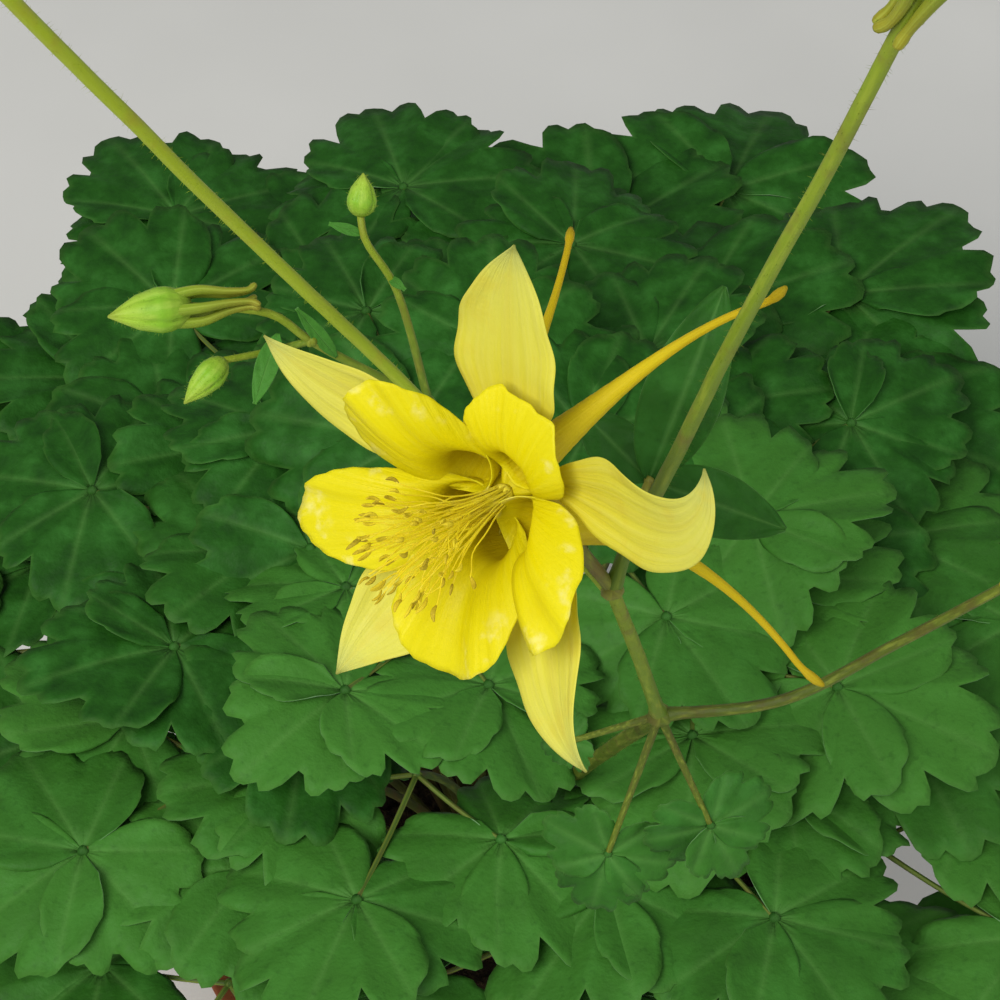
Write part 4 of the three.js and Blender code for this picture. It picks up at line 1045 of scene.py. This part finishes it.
def lathe_rings(profile, sides):
    """Rings of points round the upright axis, from a profile of distances and heights."""
    angle = angles_round(sides)
    profile = np.asarray(profile, float)
    x = profile[:, :1] * np.cos(angle)
    y = profile[:, :1] * np.sin(angle)
    return np.stack([x, y, np.broadcast_to(profile[:, 1:], x.shape)], -1)


def smooth_profile(corners, steps):
    """A profile that curves smoothly through its corners."""
    route = smooth_route([(r, 0, z) for r, z in corners], steps)
    return route[:, [0, 2]]


def rounded_profile(corners, rounding):
    """A profile with its corners rounded, by each corner's own reach."""
    corners = np.asarray(corners, float)
    line = [corners[0]]
    for before, corner, after, reach in zip(corners, corners[1:], corners[2:], rounding):
        start = corner + unit(before - corner) * reach
        end = corner + unit(after - corner) * reach
        for t in np.linspace(0, 1, 5):
            line.append((1 - t) ** 2 * start + 2 * t * (1 - t) * corner + t * t * end)
    return np.array([*line, corners[-1]])


def pot_radius(z):
    """The radius of the pot's outer face at a height, without its rim."""
    return POT["foot"] + (POT["top"] - POT["foot"]) * z / POT["height"]


def make_pot(look):
    """A thrown clay pot with a rim, faint turning marks and drain holes."""
    top, rim_base, floor = POT["height"], POT["rim_base"], POT["floor"]
    corners = [(0.5, 0), (POT["foot"], 0), (pot_radius(rim_base), rim_base),
               (pot_radius(rim_base) + POT["rim"], rim_base + 1.5), (pot_radius(top) + POT["rim"], top),
               (pot_radius(top) - POT["wall"], top), (pot_radius(floor) - POT["wall"], floor), (0.5, floor)]
    profile = rounded_profile(corners, [2.5, 1.2, 2.0, 3.0, 2.5, 4.0])
    fine = [profile[0]]
    for a, b in zip(profile, profile[1:]):
        pieces = max(1, int(np.linalg.norm(b - a) / 4))
        fine += [a + (b - a) * k / pieces for k in range(1, pieces + 1)]
    rings = lathe_rings(fine, 120)
    outward = unit(rings * [1, 1, 0])
    turning = 0.22 * np.sin(rings[..., 2] * 1.3) + 0.3 * waves(rings * 0.03, 5)
    rings = rings + outward * (turning * (rings[..., 2] > 1) * (rings[..., 2] < top - 1))[..., None]
    wide = np.linalg.norm(rings[..., :2], axis=-1)
    outside = (wide > pot_radius(rings[..., 2]) - 3) * 1.0
    parts = Parts()
    add_rings(parts, rings, (0, 0, 0), (0, 0, floor), tone=outside, across=1 - outside)
    drain(parts.piece("clay_pot", [look], "clay", "pot"))


def drain(pot):
    """Cuts the round drain holes through the pot's floor."""
    drills = []
    for index in range(DRAIN_HOLES["count"]):
        turn = math.radians(90 + 360 / DRAIN_HOLES["count"] * index)
        x, y = (DRAIN_HOLES["ring"] * part * MM for part in (math.cos(turn), math.sin(turn)))
        bpy.ops.mesh.primitive_cylinder_add(vertices=40, radius=DRAIN_HOLES["radius"] * MM,
                                            depth=3 * POT["floor"] * MM, location=(x, y, 0))
        drill = bpy.context.object
        cut = pot.modifiers.new("drain", "BOOLEAN")
        cut.object = drill
        cut.solver = "EXACT"
        drills.append(drill)
    settled = bpy.data.meshes.new_from_object(pot.evaluated_get(bpy.context.evaluated_depsgraph_get()))
    pot.modifiers.clear()
    pot.data = settled
    for drill in drills:
        bpy.data.objects.remove(drill)


def soil_height(r, top):
    """The soil's height at a distance from the middle: it drops towards the pot's wall."""
    return top - SOIL["drop"] * smoothstep(r, SOIL["level"], SOIL["edge"])


def make_soil(look):
    """The soil with its uneven surface and loose crumbs, which lie a little way into it."""
    top, bottom, edge = SOIL["top"], SOIL["bottom"], SOIL["edge"]
    profile = [(0.5, bottom), (30, bottom)]
    profile += [(pot_radius(z) - SOIL["inset"], z) for z in (bottom, 60, 110, 144)]
    profile += [(r, soil_height(r, top)) for r in np.linspace(edge, 1, 64)]
    rings = lathe_rings(profile, 200)
    wide = np.linalg.norm(rings[..., :2], axis=-1)
    surface = (rings[..., 2] > top - 4) * (wide < edge - 0.5)
    relief = 1.3 * waves(rings * 0.16, 21) + 0.7 * waves(rings * 0.6, 22) - 0.4
    rings[..., 2] += relief * surface
    parts = Parts()
    add_rings(parts, rings, (0, 0, bottom), (0, 0, top))
    count = 900
    spread = (edge - 2) * np.sqrt(RANDOM.uniform(0.02, 1, count))
    turn = RANDOM.uniform(0, 2 * math.pi, count)
    for r, t, size in zip(spread, turn, RANDOM.gamma(2.2, 0.55, count) + 0.4):
        centre = np.array([r * math.cos(t), r * math.sin(t), soil_height(r, top - 0.4)])
        add_crumb(parts, centre, min(size, 3.4))
    parts.piece("soil_surface", [look], "soil", "soil")


def add_crumb(parts, centre, size):
    """A small lump with six uneven sides."""
    latitude = np.array([-0.8, -0.3, 0.3, 0.8])
    angle = angles_round(6)
    flat = np.cos(latitude)[:, None] * RANDOM.uniform(0.7, 1.15, (4, 6)) * size
    up = np.broadcast_to(np.sin(latitude)[:, None] * size * 0.8, flat.shape)
    rings = np.stack([flat * np.cos(angle), flat * np.sin(angle), up], -1)
    pole = UP * (size * 0.8)
    add_rings(parts, rings + centre, centre - pole, centre + pole)


def make_rootstock(look):
    """The crown that the leaves rise from, with its tap root and its papery scales."""
    low, high = 70, 163
    profile = [(2.2, 70), (3.2, 90), (5, 112), (7, 132), (11, 142), (15.5, 148), (17, 151), (16.6, 154),
               (15, 157.5), (12, 160.3), (8, 162.2), (4, 163)]
    rings = lathe_rings(smooth_profile(profile, 70), 90)
    outward = unit(rings * [1, 1, 0])
    knobs = 0.9 * waves(rings * 0.35, 31) + 0.4 * waves(rings * 1.1, 32)
    rings = rings + outward * knobs[..., None] * 0.8
    parts = Parts()
    height = (rings[..., 2] - low) / (high - low)
    add_rings(parts, rings, (0, 0, low - 1), (0, 0, high + 0.2), along=height)
    count = 26
    for index in range(count):
        add_scale(parts, index, index / count)
    parts.piece("crown_and_root", [look], "root", "rootstock")


def add_scale(parts, index, share):
    """One of the crown's upright scales. They stand in a spiral, the outer ones lower."""
    outward = outward_at(LEAVES["golden"] * index)
    ring = 6 + 9.5 * math.sqrt(share)
    foot = outward * ring + UP * (152.5 + 6 * (1 - share))
    side = np.cross(UP, outward)
    u = np.linspace(0, 1, 9)[:, None, None]
    v = np.linspace(-1, 1, 7)[None, :, None]
    half = 3.4 * (1 - u ** 1.6) + 0.15
    lean = outward * (2.2 + 0.9 * math.sin(index)) * u ** 1.5
    grid = foot + UP * u * (7 + 2 * math.sin(2 * index)) + side * v * half + lean
    grid = grid - outward * (0.9 * v ** 2 * (1 - u))
    add_sheet(parts, grid, 0.4, along=0.6 + 0.4 * u[..., 0])


# ---- the plant
def make_flower(looks):
    for index, petal in enumerate(PETALS):
        parts = Parts()
        add_petal(parts, petal, 1.7 * index)
        parts.piece(f"spurred_petal_{index + 1}", [looks["petal"]], "petal", f"petal_{index + 1}")
    for index, sepal in enumerate(SEPALS):
        parts = Parts()
        add_sepal(parts, sepal, 1.3 * index)
        parts.piece(f"veined_sepal_{index + 1}", [looks["sepal"]], "sepal", f"sepal_{index + 1}")
    parts = Parts()
    add_stamens(parts)
    parts.piece("stamen_brush", [looks["filament"], looks["anther"]], "stamen", "stamens")
    parts = Parts()
    add_pistils(parts)
    parts.piece("five_styles", [looks["filament"]], "stamen", "pistils")


def make_flower_stalk(look, petal):
    """The stalk behind the flower, with the receptacle that carries the petals and sepals."""
    parts = Parts()
    foot = in_flower((0, 0, -5.5))
    line = smooth_route(slope_knots(foot, (7, 3, -13), (9.5, -1, -27), (10.5, -6, -38), UPPER_FORK), 30)
    stem = add_stem(parts, line, 1.1, sides=18, ribs=0.03, along=np.linspace(1, 0, len(line)))
    stem_hairs(parts, stem, 2.5)
    corners = [(1.2, -6.6), (1.5, -5.6), (2.2, -4.3), (2.3, -2.8), (2.2, -1.4), (1.2, -0.6)]
    sides = 90
    rings = lathe_rings(smooth_profile(corners, 26), sides)
    rings[..., :2] *= (1 + receptacle_lobes(sides) * smoothstep(rings[..., 2], -6, -3))[..., None]
    add_rings(parts, in_flower(rings), in_flower((0, 0, -6.7)), in_flower((0, 0, -0.4)), along=0.6, slot=1)
    parts.piece("pedicel", [look, petal], "stem", "flower_stalk")


def receptacle_lobes(sides):
    """How much further the receptacle reaches at each angle, to fill the gaps between the petals."""
    degrees = 360 * np.arange(sides) / sides
    turns = sorted(petal["turn"] % 360 for petal in PETALS)
    reach = np.zeros(sides)
    for before, after in zip(turns, turns[1:] + [turns[0] + 360]):
        off = (degrees - (before + after) / 2 + 180) % 360 - 180
        reach += 1.05 * np.exp(-((off / 15) ** 2))
    return reach


def make_bud_branch(look, leaf):
    """The forked stalk of the three small buds, with the small leaves at its forks."""
    parts = Parts()
    main = smooth_route(slope_knots(UPPER_FORK, (3, -1, -75), BUD_FORK), 36)
    stem_hairs(parts, add_stem(parts, main, np.linspace(1.0, 0.85, len(main)), ribs=0.03), 2)
    for knots, radii in (
            ((BUD_FORK, BUD_PAIR, (-37, 29, -49), bud_foot(1)), (0.8, 0.65)),
            ((BUD_PAIR, (-38.5, 23, -52), bud_foot(2)), (0.65, 0.55)),
            ((BUD_FORK, (-17.5, 34, -54), (-22, 41, -48), bud_foot(3)), (0.75, 0.6))):
        line = smooth_route(slope_knots(*knots), 24)
        stem_hairs(parts, add_stem(parts, line, np.linspace(*radii, len(line)), ribs=0.03), 2.5, 0.6)
    add_swelling(parts, BUD_FORK, 1.15)
    add_swelling(parts, BUD_PAIR, 1.05)
    for foot, tip, half in (
            ((-27, 22.6, -57), (-33, 30, -50), 1.3), ((-36, 26, -51), (-39.6, 14.6, -49), 1.9),
            ((-22.2, 41.6, -48), (-27.6, 43.2, -47), 0.9), ((-18.3, 35.2, -53), (-15.6, 33, -51), 0.8)):
        add_oval(parts, on_slope(*foot), on_slope(*tip), half, tone=0.8)
    parts.piece("bud_stalks", [look, leaf], "stem", "bud_branch")


def make_upper_bract(stem, leaf):
    """The stem leaf at the upper fork: three oval leaflets on one stalk."""
    parts = Parts()
    stalk = smooth_route(slope_knots(UPPER_FORK, (21, -5, -57), BRACT_JOINT), 12)
    add_stem(parts, stalk, np.linspace(0.9, 0.7, len(stalk)))
    add_swelling(parts, UPPER_FORK, 1.9, axis=TOWARDS_VIEW)
    add_swelling(parts, BRACT_JOINT, 0.9)
    for tip, half in (((35.5, 33.5, -50), 6.5), ((46, -5.5, -56), 5.5), ((13, 14, -64), 4.6)):
        add_oval(parts, BRACT_JOINT, on_slope(*tip), half)
    parts.piece("upper_bract_leaf", [stem, leaf], "leaf", "upper_bract")


def add_oval(parts, foot, tip, half, tone=0.25):
    """A smooth oval leaflet from its foot to its tip."""
    axis = unit(tip - foot)
    side = unit(np.cross(TOWARDS_VIEW, axis))
    up = np.cross(axis, side)
    length = np.linalg.norm(tip - foot)
    u = np.linspace(0, 1, 40)[:, None]
    v = np.linspace(-1, 1, 17)[None]
    width = np.maximum(0.35, half * np.sin(math.pi * np.clip(u, 0, 0.995) ** 0.85) ** 0.7)
    ripple = 0.06 * half * np.sin(9 * u + 2 * v) * v ** 2
    folds = np.cos(7 * math.pi * (u + 0.35 * np.abs(v))) * (1 - np.exp(-((v / 0.2) ** 2)))
    rise = 0.25 * half * np.sin(math.pi * u) + 0.12 * width * v ** 2 + ripple + 0.025 * half * folds
    thick = 0.05 * half ** 0.5 * (2 - np.abs(v) ** 6)
    grid = foot + axis * (u * length)[..., None] + side * (width * v)[..., None] + up * rise[..., None]
    add_sheet(parts, grid, thick, along=np.maximum(u, np.abs(v)), across=np.exp(-((v / 0.07) ** 2)),
              tone=tone, slot=1, under_tone=2.0)


def make_lower_bract(stem, leaf):
    """The stem leaf at the lower fork: three stalks, each with three lobed leaflets."""
    parts = Parts()
    add_swelling(parts, LOWER_FORK, 2.3, axis=TOWARDS_VIEW)
    ends = (((19.5, -66, -112), 12), ((38, -60, -106), 11), ((12.4, -44.5, -104), 5.5))
    for index, (end, size) in enumerate(ends):
        joint = on_slope(*end)
        ahead = unit(joint - LOWER_FORK)
        face = unit(np.cross(ahead, unit(np.cross(TOWARDS_VIEW, ahead))))
        stalk = LOWER_FORK + (joint - LOWER_FORK) * np.linspace(0, 1, 12)[:, None]
        stem_hairs(parts, add_stem(parts, stalk, np.linspace(0.8, 0.55, 12), sides=10), 2, 0.6)
        add_trefoil(parts, joint, ahead, face, size * 1.15, 900 + index, 0.4, knot=0.8)
    parts.piece("lower_bract_leaf", [stem, leaf], "leaf", "lower_bract")


# The skins of the stems: their colour at the foot and at the end, their blush, and how fine their ribs are.
STALK_LOOKS = dict(
    stem_olive=("#58701e", "#788a1c", "#6f6a24", 6),
    stem_golden=("#8ca224", "#9eae26", "#9a902c", 6),
    stem_blushed=("#566e1e", "#7a8c1e", "#685c2a", 6),
    stalk_brown=("#66682a", "#7c7c2c", "#6a5630", 6),
    stalk_dull=("#465417", "#57651a", "#4e401d", 6),
    leaf_stalk=("#4e4526", "#3f5c1e", "#5c4028", 4),
)


def make_stems(dull, blushed, golden):
    """The flowering stem from the crown to its upper fork, and its three long branches."""
    stem_piece("main_stem", "lower_stem", [CROWN, (8, -27, 235), (20, -67, 323), LOWER_FORK], (2.0, 1.5),
               dull, swelling=(LOWER_FORK, 1.9))
    stem_piece("middle_stem", "upper_stem", slope_knots(LOWER_FORK, (22, -25, -72), UPPER_FORK),
               (1.28, 1.15), blushed, swelling=(UPPER_FORK, 1.6))
    to_left = slope_knots(UPPER_FORK, (-0.5, 2.5, -64), (-16.5, 18.5, -48), (-31.5, 32.5, -20),
                          (-43.5, 44, 10), bud_foot(4))
    stem_piece("stem_to_left", "left_branch", to_left, (1.15, 0.95), golden, density=3.5)
    to_right = slope_knots(UPPER_FORK, (20.5, -5.5, -42), (23.5, 1, -26), (31.5, 23, 24),
                           (38.5, 38.5, 50), bud_foot(5))
    stem_piece("stem_to_right", "right_branch", to_right, (1.2, 0.95), blushed, density=3.5)
    to_side = slope_knots(LOWER_FORK, (49, -36, -90), (68.5, -25, -80), bud_foot(6))
    stem_piece("stem_to_side", "side_branch", to_side, (1.1, 0.85), dull)


def make_plant():
    """The whole plant from its flower down, in its pot."""
    looks = dict(petal=petal_look(), sepal=sepal_look(), leaf=leaf_look(), filament=filament_look(),
                 anther=anther_look(), bud=bud_look())
    skins = {name: stalk_look(name, *tints) for name, tints in STALK_LOOKS.items()}
    make_flower(looks)
    make_stems(skins["stalk_dull"], skins["stem_blushed"], skins["stem_golden"])
    make_flower_stalk(skins["stalk_brown"], looks["petal"])
    make_bud_branch(skins["stem_olive"], looks["leaf"])
    for index, bud in enumerate(BUDS):
        parts = Parts()
        add_bud(parts, bud, index)
        parts.piece(f"closed_bud_{index + 1}", [looks["bud"]], "bud", f"bud_{index + 1}")
    make_upper_bract(skins["stalk_brown"], looks["leaf"])
    make_lower_bract(skins["stalk_dull"], looks["leaf"])
    places = [place for place in range(LEAVES["count"]) if place != LEAVES["stem_place"]]
    for index, place in enumerate(places):
        parts = Parts()
        add_basal_leaf(parts, place)
        materials = [skins["leaf_stalk"], looks["leaf"]]
        parts.piece(f"compound_leaf_{index + 1}", materials, "leaf", f"basal_leaf_{index + 1}")
    make_pot(clay_look())
    make_soil(soil_look())
    make_rootstock(root_look())


# ---- floor, light and camera
# Places and sizes of the floor and lights are in metres. The view's distance, and its aim beside the flower,
# are in millimetres.
FLOOR_REACH = 8.0
DAYLIGHT = dict(tint=(0.93, 0.96, 1, 1), strength=0.36)
LIGHTS = dict(
    key=dict(place=(-0.65, -0.95, 1.75), aim=(0, -0.1, 0.45), size=1.0, watts=33, tint=(1, 0.985, 0.95)),
    fill=dict(place=(1.2, -1.1, 1.2), aim=(0, -0.1, 0.4), size=1.2, watts=9, tint=(0.95, 0.98, 1)),
)
CAMERA = dict(lens=90, sensor=36, nearest=0.01, away=350, right=-0.42, up=-0.7)


def make_stage():
    mesh = bpy.data.meshes.new("floor")
    corners = [(x * FLOOR_REACH, y * FLOOR_REACH, 0) for x, y in ((-1, -1), (1, -1), (1, 1), (-1, 1))]
    mesh.from_pydata(corners, [], [(0, 1, 2, 3)])
    mesh.materials.append(floor_look())
    floor = bpy.data.objects.new("floor", mesh)
    bpy.context.scene.collection.objects.link(floor)


def add_light(name, place, aim, size, watts, tint):
    light = bpy.data.lights.new(name, "AREA")
    light.size = size
    light.energy = watts
    light.color = tint
    lamp = bpy.data.objects.new(name, light)
    lamp.location = place
    lamp.rotation_euler = (Vector(aim) - Vector(place)).to_track_quat("-Z", "Y").to_euler()
    bpy.context.scene.collection.objects.link(lamp)


def make_light():
    world = bpy.data.worlds.new("studio")
    world.use_nodes = True
    background = world.node_tree.nodes["Background"]
    background.inputs["Color"].default_value = DAYLIGHT["tint"]
    background.inputs["Strength"].default_value = DAYLIGHT["strength"]
    bpy.context.scene.world = world
    for name, light in LIGHTS.items():
        add_light(name, **light)


def make_camera():
    """The view, straight down the slope onto the flower."""
    camera = bpy.data.objects.new("camera", bpy.data.cameras.new("camera"))
    camera.data.lens = CAMERA["lens"]
    camera.data.sensor_width = CAMERA["sensor"]
    camera.data.clip_start = CAMERA["nearest"]
    target, eye = (on_slope(CAMERA["right"], CAMERA["up"], out) for out in (0, CAMERA["away"]))
    camera.location = Vector(eye * MM)
    camera.rotation_euler = Vector((target - eye) * MM).to_track_quat("-Z", "Y").to_euler()
    bpy.context.scene.collection.objects.link(camera)
    bpy.context.scene.camera = camera


make_camera()
make_plant()
make_stage()
make_light()
bpy.context.scene.view_settings.view_transform = "Standard"
